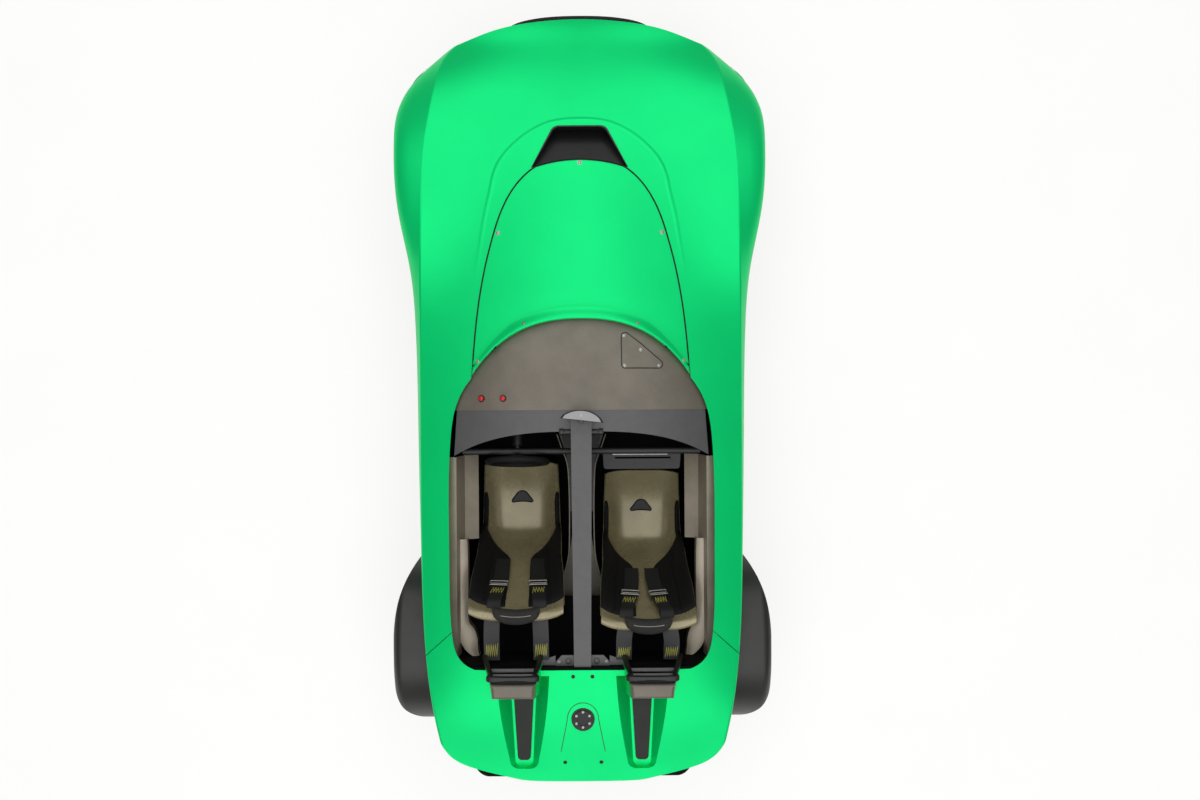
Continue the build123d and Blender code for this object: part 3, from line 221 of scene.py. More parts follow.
# Finish of each slot
M = {
    "body_green": grained("satin_green", (1, 216, 118), 0.40, 0.03, 3, metallic=0.5, height=0.00005,
                          fine=1400, gloss_spread=0.03, specular=0.2),
    "dark_carbon": woven("dark_carbon", (25, 25, 23), (37, 36, 33), 0.0022, 0.42, coat=0.06),
    "bronze_carbon": woven("bronze_carbon", (92, 87, 78), (112, 105, 94), 0.0020, 0.36, metallic=0.3,
                           coat=0.15),
    "olive_weave": woven("olive_weave", (128, 120, 90), (146, 137, 105), 0.0018, 0.26, metallic=0.25,
                         height=0.00012),
    "grey_metal": grained("grey_metal", (84, 84, 84), 0.42, 0.05, 25, metallic=0.3, height=0.0001),
    "frame_paint": grained("frame_paint", (30, 30, 31), 0.5, scale=30),
    "pad_black": grained("pad_black", (20, 20, 20), 0.72, 0.18, 60, height=0.0005, fine=700, specular=0.25),
    "belt_grey": woven("belt_webbing", (46, 46, 46), (66, 66, 66), 0.0016, 0.75, coat=0, height=0.0004),
    "black_plastic": grained("black_plastic", (20, 20, 20), 0.4, 0.15, 50, height=0.0003, fine=1600),
    "tyre_rubber": grained("tyre_rubber", (24, 24, 24), 0.78, 0.2, 35, height=0.0005, fine=500, specular=0.3),
    "rim_paint": grained("rim_paint", (60, 60, 62), 0.34, 0.1, 30, metallic=0.7, height=0.0001),
    "bare_metal": grained("cast_metal", (150, 150, 150), 0.48, scale=60, metallic=0.85, height=0.0004,
                          fine=500),
    "steel": grained("steel", (168, 166, 162), 0.3, 0.08, 60, metallic=0.95, height=0.0001, fine=1500),
    "lamp_clear": glassy("lamp_clear", (0.95, 0.97, 1, 1), 0.02),
    "lamp_red": glassy("lamp_red", (0.5, 0.01, 0.01, 1), 0.08, transmission=0.6),
}

# Finishes of single pieces
cockpit_black = grained("cockpit_black", (11, 11, 11), 0.85, 0.2, height=0.0005, fine=700, gloss_spread=0.06,
                        specular=0.15)
tunnel_olive = woven("tunnel_olive", (66, 62, 50), (80, 76, 62), 0.0018, 0.5, coat=0.1, height=0.00012)
# Paler, more metallic copy of bronze_carbon for the sill and corner trims: partly their own paler bronze,
# partly painted light standing in for highlights on their shaded, inward-facing faces
sill_bronze_painted_light = woven("sill_bronze_painted_light", (142, 133, 118), (162, 152, 136), 0.0020, 0.34, metallic=0.4, coat=0.15)
strip_carbon = woven("strip_carbon", (15, 13, 12), (25, 22, 20), 0.0022, 0.6, coat=0)
cap_black = grained("cap_black", (14, 14, 14), 0.5, 0.1, 60)
thread_yellow = grained("thread_yellow", (206, 202, 92), 0.7, 0.2, 300, height=0.0003)
thread_pale = grained("thread_pale", (150, 148, 140), 0.7, 0.2, 300, height=0.0003)
black_webbing = woven("black_webbing", (16, 16, 16), (30, 30, 30), 0.0016, 0.7, coat=0, height=0.0004)
head_cloth = grained("head_cloth", (48, 48, 46), 0.85, 0.15, 90, height=0.0005, fine=700, specular=0.2)
slot_rubber = grained("slot_rubber", (52, 52, 54), 0.6, 0.1, 80, height=0.0003)
red_plastic = grained("red_button", (190, 20, 22), 0.3, 0.1, 200, height=0.0001)
mirror_paint = grained("mirror_paint", (150, 150, 150), 0.5, 0.05, 30, height=0.0001)

# CAD pieces whose finish differs from their slot's
USED_FOR = {
    "rear_bulkhead": cockpit_black,
    "floor_tub": cockpit_black,
    "tunnel": tunnel_olive,
    "sill_trims": sill_bronze_painted_light,
    "channel_strips": strip_carbon,
    "filler_cap": cap_black,
}

for part in frame["record"]["subparts"]:
    mesh = nodes[part["node"]].data
    mesh.materials.clear()
    mesh.materials.append(USED_FOR.get(part["node"], M[part["material_slot"]]))


# Meshes from lists of points: each builder gives (points, faces), and piece() joins several

def grid(rows, closed=False, caps=False):
    """Faces through rows of points; closed joins the last point of each row to its first."""
    count, width = len(rows), len(rows[0])
    points = [tuple(p) for row in rows for p in row]
    faces = []
    for i in range(count - 1):
        for j in range(width if closed else width - 1):
            k = (j + 1) % width
            faces.append((i * width + j, i * width + k, (i + 1) * width + k, (i + 1) * width + j))
    if caps:
        faces.append(tuple(range(width))[::-1])
        faces.append(tuple((count - 1) * width + j for j in range(width)))
    return points, faces


def solid(rows):
    """Closed tube through rows of points, with its ends capped."""
    return grid(rows, closed=True, caps=True)


def piece(name, shapes, slot, body="chassis", material=None, angle=40):
    """One object from several shapes, smooth up to an angle, riding on a body."""
    points, faces = [], []
    for shape_points, shape_faces in shapes:
        start = len(points)
        points += shape_points
        faces += [tuple(start + k for k in face) for face in shape_faces]
    mesh = bpy.data.meshes.new(name)
    mesh.from_pydata(points, [], faces)
    build = bmesh.new()
    build.from_mesh(mesh)
    bmesh.ops.recalc_face_normals(build, faces=build.faces)
    build.to_mesh(mesh)
    build.free()
    mesh.shade_smooth()
    mesh.set_sharp_from_angle(angle=math.radians(angle))
    mesh.materials.append(material or M[slot])
    obj = bpy.data.objects.new(name, mesh)
    scene.collection.objects.link(obj)
    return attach(obj, body)


def axes(direction):
    """Two unit vectors square to a direction and to each other."""
    direction = Vector(direction).normalized()
    side = direction.cross(UP) if abs(direction.z) < 0.9 else direction.cross((1, 0, 0))
    side.normalize()
    return side, direction.cross(side)


def lathe(origin, axis, profile, steps=32, hexes=()):
    """Turned form: (radius, height) points spun about an axis; the rings listed in hexes are six-sided."""
    origin, axis = Vector(origin), Vector(axis).normalized()
    side, up = axes(axis)
    rows = []
    for place, (radius, height) in enumerate(profile):
        row = []
        for k in range(steps):
            turn = 2 * math.pi * k / steps
            reach = radius
            if place in hexes:
                reach = radius * math.cos(math.pi / 6) / math.cos(turn % (math.pi / 3) - math.pi / 6)
            row.append(origin + axis * height + (side * math.cos(turn) + up * math.sin(turn)) * reach)
        rows.append(row)
    return solid(rows)


def sweep(path, section, ups=None):
    """A closed section of (across, up) points carried along a path; ups gives the up vector at each point."""
    path = [Vector(p) for p in path]
    rows = []
    for k, point in enumerate(path):
        along = (path[min(k + 1, len(path) - 1)] - path[max(k - 1, 0)]).normalized()
        up = Vector(ups[k]) if ups else axes(along)[1]
        across = along.cross(up).normalized()
        up = across.cross(along)
        rows.append([point + across * a + up * b for a, b in section])
    return solid(rows)


def circle(radius, steps):
    """Round section."""
    return [(radius * math.cos(2 * math.pi * k / steps), radius * math.sin(2 * math.pi * k / steps))
            for k in range(steps)]


def rounded_bar(width, height, corner, steps=4):
    """Section of a flat bar with round corners, centred across and standing on its base."""
    points = []
    for quarter, (cx, cy) in enumerate(((1, 1), (-1, 1), (-1, -1), (1, -1))):
        for k in range(steps + 1):
            turn = math.pi / 2 * (quarter + k / steps)
            points.append((cx * (width / 2 - corner) + corner * math.cos(turn),
                           height / 2 + cy * (height / 2 - corner) + corner * math.sin(turn)))
    return points


def smooth_path(points, steps=8):
    """Points along a smooth curve through the given ones."""
    points = [Vector(p) for p in points]
    ends = [points[0] * 2 - points[1], *points, points[-1] * 2 - points[-2]]
    made = []
    for a, b, c, d in zip(ends, ends[1:], ends[2:], ends[3:]):
        for k in range(steps):
            t = k / steps
            made.append(0.5 * (2 * b + (c - a) * t + (2 * a - 5 * b + 4 * c - d) * t * t
                               + (3 * b - a - 3 * c + d) * t ** 3))
    return made + [points[-1]]


def on_node(target, x, y):
    """Place and normal of an object's upper face below a point in plan."""
    solid = nodes[target] if isinstance(target, str) else target
    hit, place, normal, _ = solid.ray_cast(Vector((x, y, ABOVE)), DOWN)
    if not hit:
        raise ValueError(f"nothing of {target} at {x}, {y}")
    return place, normal


def flat(points):
    """Plan points as vectors."""
    return [Vector((x, y, 0)) for x, y in points]


def both(places):
    """Plan places and their mirror images."""
    return [(x, y * side) for x, y in places for side in SIDES if y or side > 0]


def strip(path, up, *size):
    """Bar of a width, height and corner radius along a path, its top to one side."""
    return sweep(path, rounded_bar(*size), [up] * len(path))


def bead(spots, *size):
    """Bar of a width, height and corner radius along (place, normal) spots on a surface."""
    path, ups = zip(*spots)
    return sweep(path, rounded_bar(*size), ups)


def plan_plate(outline, bottom, top, bevel):
    """Plate from a plan outline, its upper and lower edges broken by a small bevel."""
    points = flat(outline)
    middle = sum(points, Vector()) / len(points)
    rows = []
    for height, inset in ((bottom, bevel), (bottom + bevel, 0), (top - bevel, 0), (top, bevel)):
        row = []
        for p in points:
            away = (middle - p).normalized() * inset
            row.append((p.x + away.x, p.y + away.y, height))
        rows.append(row)
    return solid(rows)


# Button-head screw as shares of its radius and height; two of its rings are the six-sided socket
SCREW = [(1.25, 0), (1.25, 0.12), (1, 0.14), (1, 0.5), (0.86, 0.85), (0.6, 1), (0.52, 1), (0.5, 0.3),
         (0.05, 0.28)]
SCREW_HEIGHT, SOCKET_RINGS = 0.55, (6, 7)


def socket_screw(place, normal, radius):
    """Round button-head screw with a six-sided socket."""
    height = radius * SCREW_HEIGHT
    return lathe(place, normal, [(radius * r, height * h) for r, h in SCREW], 24, hexes=SOCKET_RINGS)


def screws_on(name, target, places, radius, slot="steel"):
    """Screws seated on a piece at plan places."""
    return piece(name, [socket_screw(*on_node(target, x, y), radius) for x, y in places], slot)


# Seats: the same drawing as the solids, with finer curves, a rolled top edge, slots and pads

SEAT_PATH = [(-0.335, 0.252), (-0.430, 0.205), (-0.560, 0.172), (-0.680, 0.190), (-0.765, 0.320),
             (-0.845, 0.500), (-0.958, 0.790)]
SEAT_HALF = [0.172, 0.176, 0.180, 0.186, 0.188, 0.200, 0.206]
SEAT_BOLSTER = [0.030, 0.060, 0.084, 0.096, 0.096, 0.078, 0.036]
SEAT_T = 0.008

# Middle of each seat across the car, and how far back it is set
SEATS = {"driver": (0.288, 0.0), "passenger": (-0.288, 0.045)}


def spline_line(points):
    """Natural cubic through (x, z) points, as a function of a share from 0 to 1 and its slope."""
    points = np.array(points)
    knots = np.concatenate([[0], np.cumsum(np.hypot(*np.diff(points, axis=0).T))])
    knots = knots / knots[-1]
    count, gaps = len(points), np.diff(knots)
    system, right = np.eye(count), np.zeros((count, 2))
    for k in range(1, count - 1):
        system[k, k - 1:k + 2] = gaps[k - 1], 2 * (gaps[k - 1] + gaps[k]), gaps[k]
        right[k] = 6 * ((points[k + 1] - points[k]) / gaps[k] - (points[k] - points[k - 1]) / gaps[k - 1])
    bend = np.linalg.solve(system, right)

    def at(share):
        k = int(min(max(np.searchsorted(knots, share) - 1, 0), count - 2))
        h, a, b = gaps[k], knots[k + 1] - share, share - knots[k]
        place = (bend[k] * a ** 3 + bend[k + 1] * b ** 3) / (6 * h)
        place = place + (points[k] / h - bend[k] * h / 6) * a + (points[k + 1] / h - bend[k + 1] * h / 6) * b
        slope = (bend[k + 1] * b ** 2 - bend[k] * a ** 2) / (2 * h)
        slope = slope + (points[k + 1] - points[k]) / h - (bend[k + 1] - bend[k]) * h / 6
        return place, slope / np.hypot(*slope)

    return at


seat_line = spline_line(SEAT_PATH)


def blend(values, share):
    """Value at a share of the way along evenly spaced ones."""
    place = min(max(share, 0), 1) * (len(values) - 1)
    k = min(int(place), len(values) - 2)
    return values[k] + (values[k + 1] - values[k]) * (place - k)


def seat_point(seat, share, across, lift=0.0):
    """Point above the seat's inner face: share runs from the front edge to the top, across from -1 to 1."""
    y0, shift = SEATS[seat]
    (x, z), (tx, tz) = seat_line(share)
    half, depth = blend(SEAT_HALF, share), blend(SEAT_BOLSTER, share)
    rise = depth * abs(across) ** 4
    side_lean = 4 * depth * across ** 3 / half
    size = math.hypot(1, side_lean)
    height = rise + lift / size
    return Vector((x - shift + tz * height, y0 + half * across - lift * side_lean / size, z - tx * height))


def seat_normal(seat, share, across):
    """Direction out of the seat's inner face."""
    return (seat_point(seat, share, across, 0.01) - seat_point(seat, share, across)).normalized()


SEAT_ACROSS, SEAT_ALONG, ROLL_STEPS = 56, 72, 8
TOP_ROLL, ROLL_TURN = 0.026, math.pi * 0.62


def seat_shell(seat):
    """Moulded seat with a rolled edge and a lip turned back along its top."""
    across = [-1 + 2 * k / SEAT_ACROSS for k in range(SEAT_ACROSS + 1)]
    rows = []
    for k in range(SEAT_ALONG + 1):
        inner = [seat_point(seat, k / SEAT_ALONG, f) for f in across]
        outer = [seat_point(seat, k / SEAT_ALONG, f, -SEAT_T) for f in reversed(across)]
        rows.append(inner + outer)
    top = rows[-1][:len(across)]
    _, (tx, tz) = seat_line(1)
    ahead, up = Vector((tz, 0, -tx)), Vector((tx, 0, tz))
    for k in range(1, ROLL_STEPS + 1):
        turn = ROLL_TURN * k / ROLL_STEPS
        move = ahead * (-TOP_ROLL * (1 - math.cos(turn))) + up * (TOP_ROLL * math.sin(turn))
        thick = ahead * math.cos(turn) + up * math.sin(turn)
        rows.append([p + move for p in top] + [p + move - thick * SEAT_T for p in reversed(top)])
    return solid(rows)


# Belt slot: place along the seat, half of its outline, height and radius of its rim, height of its plug
SLOT_AT = 0.184
SLOT_HALF = [(0, -0.030), (0.017, -0.025), (0.031, -0.008), (0.044, 0.009), (0.050, 0.019), (0.045, 0.026),
             (0.022, 0.023), (0, 0.022)]
SLOT_LIFT, SLOT_RIM, SLOT_MIDDLE, PLUG_LIFT = 0.0010, 0.0028, 0.006, 0.0004
PLUG_RINGS = (0.02, 0.25, 0.6, 0.97)


def seat_slot(seat):
    """Hat-shaped belt slot in the pan: a sunk rubber plug and its rolled rim."""
    half = flat(SLOT_HALF)
    outline = smooth_path(half + [Vector((-p.x, p.y, 0)) for p in half[-2::-1]], 5)
    places = [(SLOT_AT + p.y, p.x / SEAT_HALF[1]) for p in outline]
    ring = [seat_point(seat, share, f, SLOT_LIFT) for share, f in places]
    rim = sweep(ring, circle(SLOT_RIM, 8), [seat_normal(seat, share, f) for share, f in places])
    middle = seat_point(seat, SLOT_AT + SLOT_MIDDLE, 0, PLUG_LIFT)
    rows = [[p.lerp(middle, t) for p in ring[:-1]] for t in PLUG_RINGS]
    return solid(rows), rim


# Side pads: inner edge beside the pan and up the back, and the stretch in which it changes over
PAN_EDGE, BACK_EDGE, PAD_OUTER = 0.955, 0.25, 1.02
EDGE_TURN, EDGE_TURN_LENGTH = 0.40, 0.17
PAD_START, PAD_END, PAD_T = 0.14, 0.965, 0.016
PAD_ALONG, PAD_ACROSS, PAD_ROUND_ROWS = 96, 26, 7
PAD_BASE, PAD_GAP = 0.0008, 0.0006
CHANNEL_AT, CHANNEL_WIDTH, CHANNEL_DEPTH, CHANNEL_PAD = 0.62, 0.028, 0.35, 0.3


def pad_edge(share):
    """Inner edge of a side pad: along the pan's flank, then in to the bare strip up the back."""
    t = min(max((share - EDGE_TURN) / EDGE_TURN_LENGTH, 0), 1)
    t = t * t * (3 - 2 * t)
    return PAN_EDGE + (BACK_EDGE - PAN_EDGE) * t


def side_pad(seat, side):
    """Foam pad over one bolster and half of the back: crowned, with a sewn channel near its inner edge."""
    rows = []
    for k in range(PAD_ALONG + 1):
        share = PAD_START + (PAD_END - PAD_START) * k / PAD_ALONG
        ends = min(k, PAD_ALONG - k) / PAD_ROUND_ROWS
        full = math.sqrt(1 - max(0, 1 - ends) ** 2) if ends < 1 else 1
        inner = pad_edge(share)
        top, bottom = [], []
        for j in range(PAD_ACROSS + 1):
            u = j / PAD_ACROSS
            crown = math.sqrt(max(0, 1 - abs(2 * u - 1) ** 5))
            channel = 0
            if PAD_OUTER - inner > CHANNEL_PAD:
                channel = math.exp(-((u - CHANNEL_AT) / CHANNEL_WIDTH) ** 2)
            f = inner + (PAD_OUTER - inner) * u
            lift = PAD_BASE + PAD_T * full * (0.1 + 0.9 * crown - CHANNEL_DEPTH * channel)
            top.append(seat_point(seat, share, side * f, lift))
            bottom.append(seat_point(seat, share, side * f, PAD_GAP))
        rows.append(top + bottom[::-1])
    return solid(rows)


HEAD_FRONT_X, HEAD_Z, HEAD_BOW = -0.946, 0.812, 0.010
HEAD_HALF, HEAD_DEPTH, HEAD_TALL = 0.106, 0.068, 0.021
HEAD_ACROSS, HEAD_ROUND, HEAD_SOFT = 20, 28, 2.6


def head_pad(seat):
    """Half-moon pad wrapped over the middle of the seat's top lip, its round side to the rear."""
    y0, shift = SEATS[seat]
    rows = []
    for k in range(2 * HEAD_ACROSS + 1):
        across = -1 + k / HEAD_ACROSS
        reach = math.sqrt(max(0.004, 1 - abs(across) ** 2.4))
        deep = HEAD_DEPTH / 2 * (0.30 + 0.70 * reach) * min(1, reach * 2.2)
        front = HEAD_FRONT_X - shift + HEAD_BOW * across * across
        tall = HEAD_TALL * min(1, reach * 1.6)
        row = []
        for j in range(HEAD_ROUND):
            turn = 2 * math.pi * j / HEAD_ROUND
            wide, high = math.cos(turn), math.sin(turn)
            soft = (abs(wide) ** HEAD_SOFT + abs(high) ** HEAD_SOFT) ** (-1 / HEAD_SOFT)
            x = front - deep + deep * wide * soft
            row.append((x, y0 + HEAD_HALF * across, HEAD_Z + tall * high * soft))
        rows.append(row)
    return solid(rows)


PRESSURE, CLOTH_FRAMES, CLOTH_REACH = 4, 20, 0.003


def inflate(pad):
    """Cloth pressure rounds a pad out and wrinkles it; no point moves further than CLOTH_REACH."""
    cloth = pad.modifiers.new("cloth", "CLOTH")
    cloth.settings.use_pressure = True
    cloth.settings.uniform_pressure_force = PRESSURE
    cloth.settings.effector_weights.gravity = 0
    for frame_number in range(1, CLOTH_FRAMES + 1):
        scene.frame_set(frame_number)
    shaped = pad.evaluated_get(bpy.context.evaluated_depsgraph_get()).to_mesh()
    moves = [after.co - before.co for after, before in zip(shaped.vertices, pad.data.vertices)]
    pad.modifiers.remove(cloth)
    for point, move in zip(pad.data.vertices, moves):
        point.co += move * min(1, CLOTH_REACH / max(move.length, 1e-9))
    scene.frame_set(1)


def thread(points, radius=0.0009):
    """Round thread along points."""
    return sweep(points, circle(radius, 6))


STRAP_WIDTH, STRAP_T, STRAP_CORNER = 0.066, 0.003, 0.0012

# Shoulder straps: sideways place at the bulkhead, and at the free end on the seat's back
STRAPS = {"driver": ((0.108, 0.080), (-0.107, -0.088)), "passenger": ((0.107, 0.060), (-0.100, -0.034))}
STRAP_START, STRAP_SLOT, STRAP_END = 0.60, 0.955, 0.985
STRAP_STEPS, STRAP_LIFT, STRAP_SINK = 8, PAD_T + 0.005, -0.004
STRAP_DRIFT, STRAP_DRIFT_BEHIND = 0.75, 0.78
BULKHEAD_X, STRAP_REACH = -1.176, 0.204


def strap_front(seat, end, start):
    """Centre line of a strap's front run: over the back pads, then into the seat below its top lip."""
    line = []
    for k in range(STRAP_STEPS + 1):
        t = k / STRAP_STEPS
        share = STRAP_START + (STRAP_SLOT - STRAP_START) * t
        f = (start + (end - start) * t * t * STRAP_DRIFT) / blend(SEAT_HALF, share)
        line.append(seat_point(seat, share, f, STRAP_LIFT))
    line.append(seat_point(seat, STRAP_END, f, STRAP_SINK))
    return smooth_path(line, 5)


def strap_back(seat, end, start):
    """Centre line of a strap's rear run, from the back of the seat to the top of the bulkhead."""
    y0, shift = SEATS[seat]
    first = start + (end - start) * STRAP_DRIFT_BEHIND
    run = [(-0.972, 0.786, first), (-1.010, 0.800, first * 0.4 + end * 0.6), (-1.060, 0.796, end),
           (-1.120, 0.780, end), (BULKHEAD_X, 0.761, end)]
    return smooth_path([(x - shift * (x - BULKHEAD_X) / STRAP_REACH, y0 + y, z) for x, z, y in run], 8)


def strap_frame(path, k):
    """Along, across and up at one point of a strap."""
    along = (path[min(k + 1, len(path) - 1)] - path[max(k - 1, 0)]).normalized()
    across = Vector((0, 1, 0))
    across = (across - along * across.dot(along)).normalized()
    return along, across, across.cross(along)


def strap_ups(path):
    """Up vectors along a strap."""
    return [strap_frame(path, k)[2] for k in range(len(path))]


def webbing(path, ups, share):
    """Flat webbing along a strap's path, a share of the usual width."""
    return sweep(path, rounded_bar(STRAP_WIDTH * share, STRAP_T, STRAP_CORNER), ups)


STROKE_STEPS, STROKE_LIFT, STROKE_REACH = 4, STRAP_T + 0.0006, STRAP_WIDTH * 0.40


def zigzag(path, start, end, strokes):
    """Zigzag stitches across a strap, each stroke running from one place along it to the other."""
    run = []
    for k in range(strokes * STROKE_STEPS + 1):
        stroke, part = divmod(k, STROKE_STEPS)
        share = part / STROKE_STEPS
        place = (start + (end - start) * (1 - share if stroke % 2 else share)) * (len(path) - 1)
        index = int(place)
        _, across, up = strap_frame(path, index)
        centre = path[index].lerp(path[min(index + 1, len(path) - 1)], place - index)
        run.append(centre + across * STROKE_REACH * (2 * k / (strokes * STROKE_STEPS) - 1) + up * STROKE_LIFT)
    return thread(run)


ADJUSTER_HALF, ADJUSTER_LONG, ADJUSTER_LIFT = STRAP_WIDTH / 2 + 0.006, 0.017, STRAP_T + 0.004
BAR_LIFT, BAR_STEPS = 0.003, 6


def adjuster(path, place):
    """Three-bar adjuster on a strap: a bent plate frame with its bars."""
    index = int(place * (len(path) - 1))
    along, across, up = strap_frame(path, index)

    def corner(side, step, lift):
        return path[index] + across * side * ADJUSTER_HALF + along * step * ADJUSTER_LONG + up * lift

    shapes = []
    for step in (-1, 0, 1):
        left, right = [corner(side, step, ADJUSTER_LIFT + BAR_LIFT * abs(step)) for side in (-1, 1)]
        run = [left.lerp(right, k / BAR_STEPS) for k in range(BAR_STEPS + 1)]
        shapes.append(strip(run, up, 0.008, 0.004, 0.0015))
    for side in (-1, 1):
        run = [corner(side, step, ADJUSTER_LIFT) for step in (-1, 0, 1)]
        shapes.append(strip(run, up, 0.007, 0.005, 0.0018))
    return shapes


# Seam in a side pad's channel, and the feet below the seat
SEAM_START, SEAM_LENGTH, SEAM_STEPS = 0.47, 0.48, 40
SEAM_INNER, SEAM_OUTER, SEAM_LIFT = 0.38, 0.632, PAD_BASE + PAD_T * 0.66
FEET_X, FOOT_Y, FOOT_Z = (-0.62, -0.48), 0.11, 0.112
FOOT = [(0.016, 0), (0.016, 0.02), (0.012, 0.024), (0.012, 0.048), (0.0, 0.048)]


def pad_seam(seat, side):
    """Thread sewn along the channel of a side pad."""
    shares = [SEAM_START + SEAM_LENGTH * k / SEAM_STEPS for k in range(SEAM_STEPS + 1)]
    return thread([seat_point(seat, share, side * (pad_edge(share) * SEAM_INNER + SEAM_OUTER), SEAM_LIFT)
                   for share in shares])


def dress_pads(seat):
    """Side pads of one seat with their seams, and the feet below them."""
    y0, shift = SEATS[seat]
    for side, word in ((1, "left"), (-1, "right")):
        pad = piece(f"{seat}_pad_{word}", [side_pad(seat, side)], "pad_black")
        if side > 0:
            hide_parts(f"{seat}_pads")
        piece(f"{seat}_pad_seam_{word}", [pad_seam(seat, side)], "pad_black")
        feet = [lathe((x - shift, y0 + side * FOOT_Y, FOOT_Z), UP, FOOT, 20) for x in FEET_X]
        piece(f"{seat}_seat_feet_{word}", feet, "frame_paint")


STITCH_BACK, STITCH_BOW, STITCH_HALF, STITCH_STEPS = 0.024, 0.006, 0.066, 10
STITCH_RADIUS, STITCH_LIFT = 0.0014, 0.0002


def dress_head(seat):
    """Head pad of one seat with the pale stitch along its top."""
    y0, shift = SEATS[seat]
    pad = piece(f"{seat}_head_pad", [head_pad(seat)], "pad_black", material=head_cloth)
    inflate(pad)
    bpy.context.view_layer.update()
    stitch = []
    for k in range(2 * STITCH_STEPS + 1):
        across = k / STITCH_STEPS - 1
        x = HEAD_FRONT_X - shift - STITCH_BACK - STITCH_BOW * (1 - across ** 2)
        place, _ = on_node(pad, x, y0 + STITCH_HALF * across)
        stitch.append(place + UP * STITCH_LIFT)
    piece(f"{seat}_head_pad_stitch", [thread(stitch, STITCH_RADIUS)], "pad_black", material=thread_pale)


# Width of the webbing in front, of its fold and behind, and where the fold ends
FRONT_SHARE, FOLD_SHARE, BACK_SHARE = 0.92, 1, 1.04
FOLD_LIFT, FOLD_POINTS = STRAP_T * 1.1, 30
ADJUSTER_AT, FRONT_STITCHES, BACK_STITCHES = 0.56, (0.62, 0.74, 9), (0.66, 0.93, 11)


def dress_belts(seat):
    """Shoulder straps of one seat with their folds, adjusters and stitching."""
    front, back, tongues, stitches = [], [], [], []
    for end, start in STRAPS[seat]:
        path = strap_front(seat, end, start)
        ups = strap_ups(path)
        front.append(webbing(path, ups, FRONT_SHARE))
        fold = [p + up * FOLD_LIFT for p, up in zip(path, ups)]
        front.append(webbing(fold[:FOLD_POINTS], ups[:FOLD_POINTS], FOLD_SHARE))
        raised = [p + up * STRAP_T for p, up in zip(path, ups)]
        tongues += adjuster(raised, ADJUSTER_AT)
        stitches.append(zigzag(raised, *FRONT_STITCHES))
        path = strap_back(seat, end, start)
        back.append(webbing(path, strap_ups(path), BACK_SHARE))
        stitches.append(zigzag(path, *BACK_STITCHES))
    belts = piece(f"{seat}_rear_webbing", back, "belt_grey")
    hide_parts(f"{seat}_belts")
    piece(f"{seat}_front_webbing", front, "belt_grey", material=black_webbing)
    piece(f"{seat}_belt_adjusters", tongues, "steel")
    piece(f"{seat}_belt_stitching", stitches, "belt_grey", material=thread_yellow)


def dress_seat(seat):
    """One seat with its slot, pads, head pad and shoulder straps."""
    shell = piece(f"{seat}_seat_shell", [seat_shell(seat)], "olive_weave")
    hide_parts(f"{seat}_seat")
    plug, rim = seat_slot(seat)
    piece(f"{seat}_seat_slot", [plug], "pad_black", material=slot_rubber)
    piece(f"{seat}_seat_slot_rim", [rim], "pad_black")
    dress_pads(seat)
    dress_head(seat)
    dress_belts(seat)


for seat_name in SEATS:
    dress_seat(seat_name)


# Fastenings and small fittings

# The fuel filler's middle, and the ring of screws in its cap
FILLER_X, CAP_RING = -1.435, 0.033
CAP_SCREWS = [(FILLER_X + x, y) for x, y in circle(CAP_RING, 6)]

# Screws and bolts: the piece they sit on, their plan places, radius and slot
SCREWS = {
    "bonnet_screws": ("bonnet", [(1.020, 0)] + both([(0.706, 0.366), (0.131, 0.452)]), 0.008, "steel"),
    "hatch_screws": ("dash_hatch", [(0.243, -0.190), (0.180, -0.264), (0.110, -0.345), (0.110, -0.192)],
                     0.006, "steel"),
    "deck_screws": ("tail_clamshell", both([(-1.243, 0.042), (-1.640, 0.080)]), 0.007, "black_plastic"),
    "foot_bolts": ("centre_spine", both([(-1.184, 0.062)]), 0.013, "grey_metal"),
    "foot_screws": ("centre_spine", both([(-1.188, 0.104)]), 0.006, "bare_metal"),
    "cap_screws": ("filler_cap", CAP_SCREWS, 0.0045, "steel"),
    "mudguard_bolts": ("rear_mudguards", both([(-0.90, 0.640), (-1.15, 0.640), (-1.40, 0.640)]),
                       0.008, "steel"),
}
for screws_name, (carrier, places, screw_radius, screw_slot) in SCREWS.items():
    screws_on(screws_name, carrier, places, screw_radius, screw_slot)

BUTTON_X, BUTTONS = -0.031, {"hazard": 0.440, "cutoff": 0.343}
BEZEL = [(0.0155, 0), (0.0155, 0.003), (0.0145, 0.005), (0.0125, 0.005), (0.012, 0.002), (0.0, 0.002)]
BUTTON = [(0.0115, 0.002), (0.0115, 0.008), (0.0105, 0.0105), (0.007, 0.0118), (0.0, 0.0122)]
for label, button_y in BUTTONS.items():
    spot = on_node("dash_panel", BUTTON_X, button_y)
    piece(f"{label}_bezel", [lathe(*spot, BEZEL)], "black_plastic")
    piece(f"{label}_button", [lathe(*spot, BUTTON)], "black_plastic", material=red_plastic)

PIN_X, PIN_Y, PIN_Z = -0.179, 0.046, 0.776
PIN = [(0.0, 0), (0.012, 0), (0.012, 0.03), (0.015, 0.032), (0.015, 0.046), (0.013, 0.050), (0.0, 0.050)]


def spine_pin(side):
    """Cross pin that holds the spine to the dash."""
    return lathe((PIN_X, side * PIN_Y, PIN_Z), (0, side, 0), PIN, 28)


piece("spine_pins", [spine_pin(side) for side in SIDES], "grey_metal", material=M["rim_paint"])

ARCH_STEPS, ARCH_LONG, ARCH_HALF = 24, 0.074, 0.068
LEG_STEPS, LEG_BACK, LEG_OUT = 7, 0.022, 0.0042


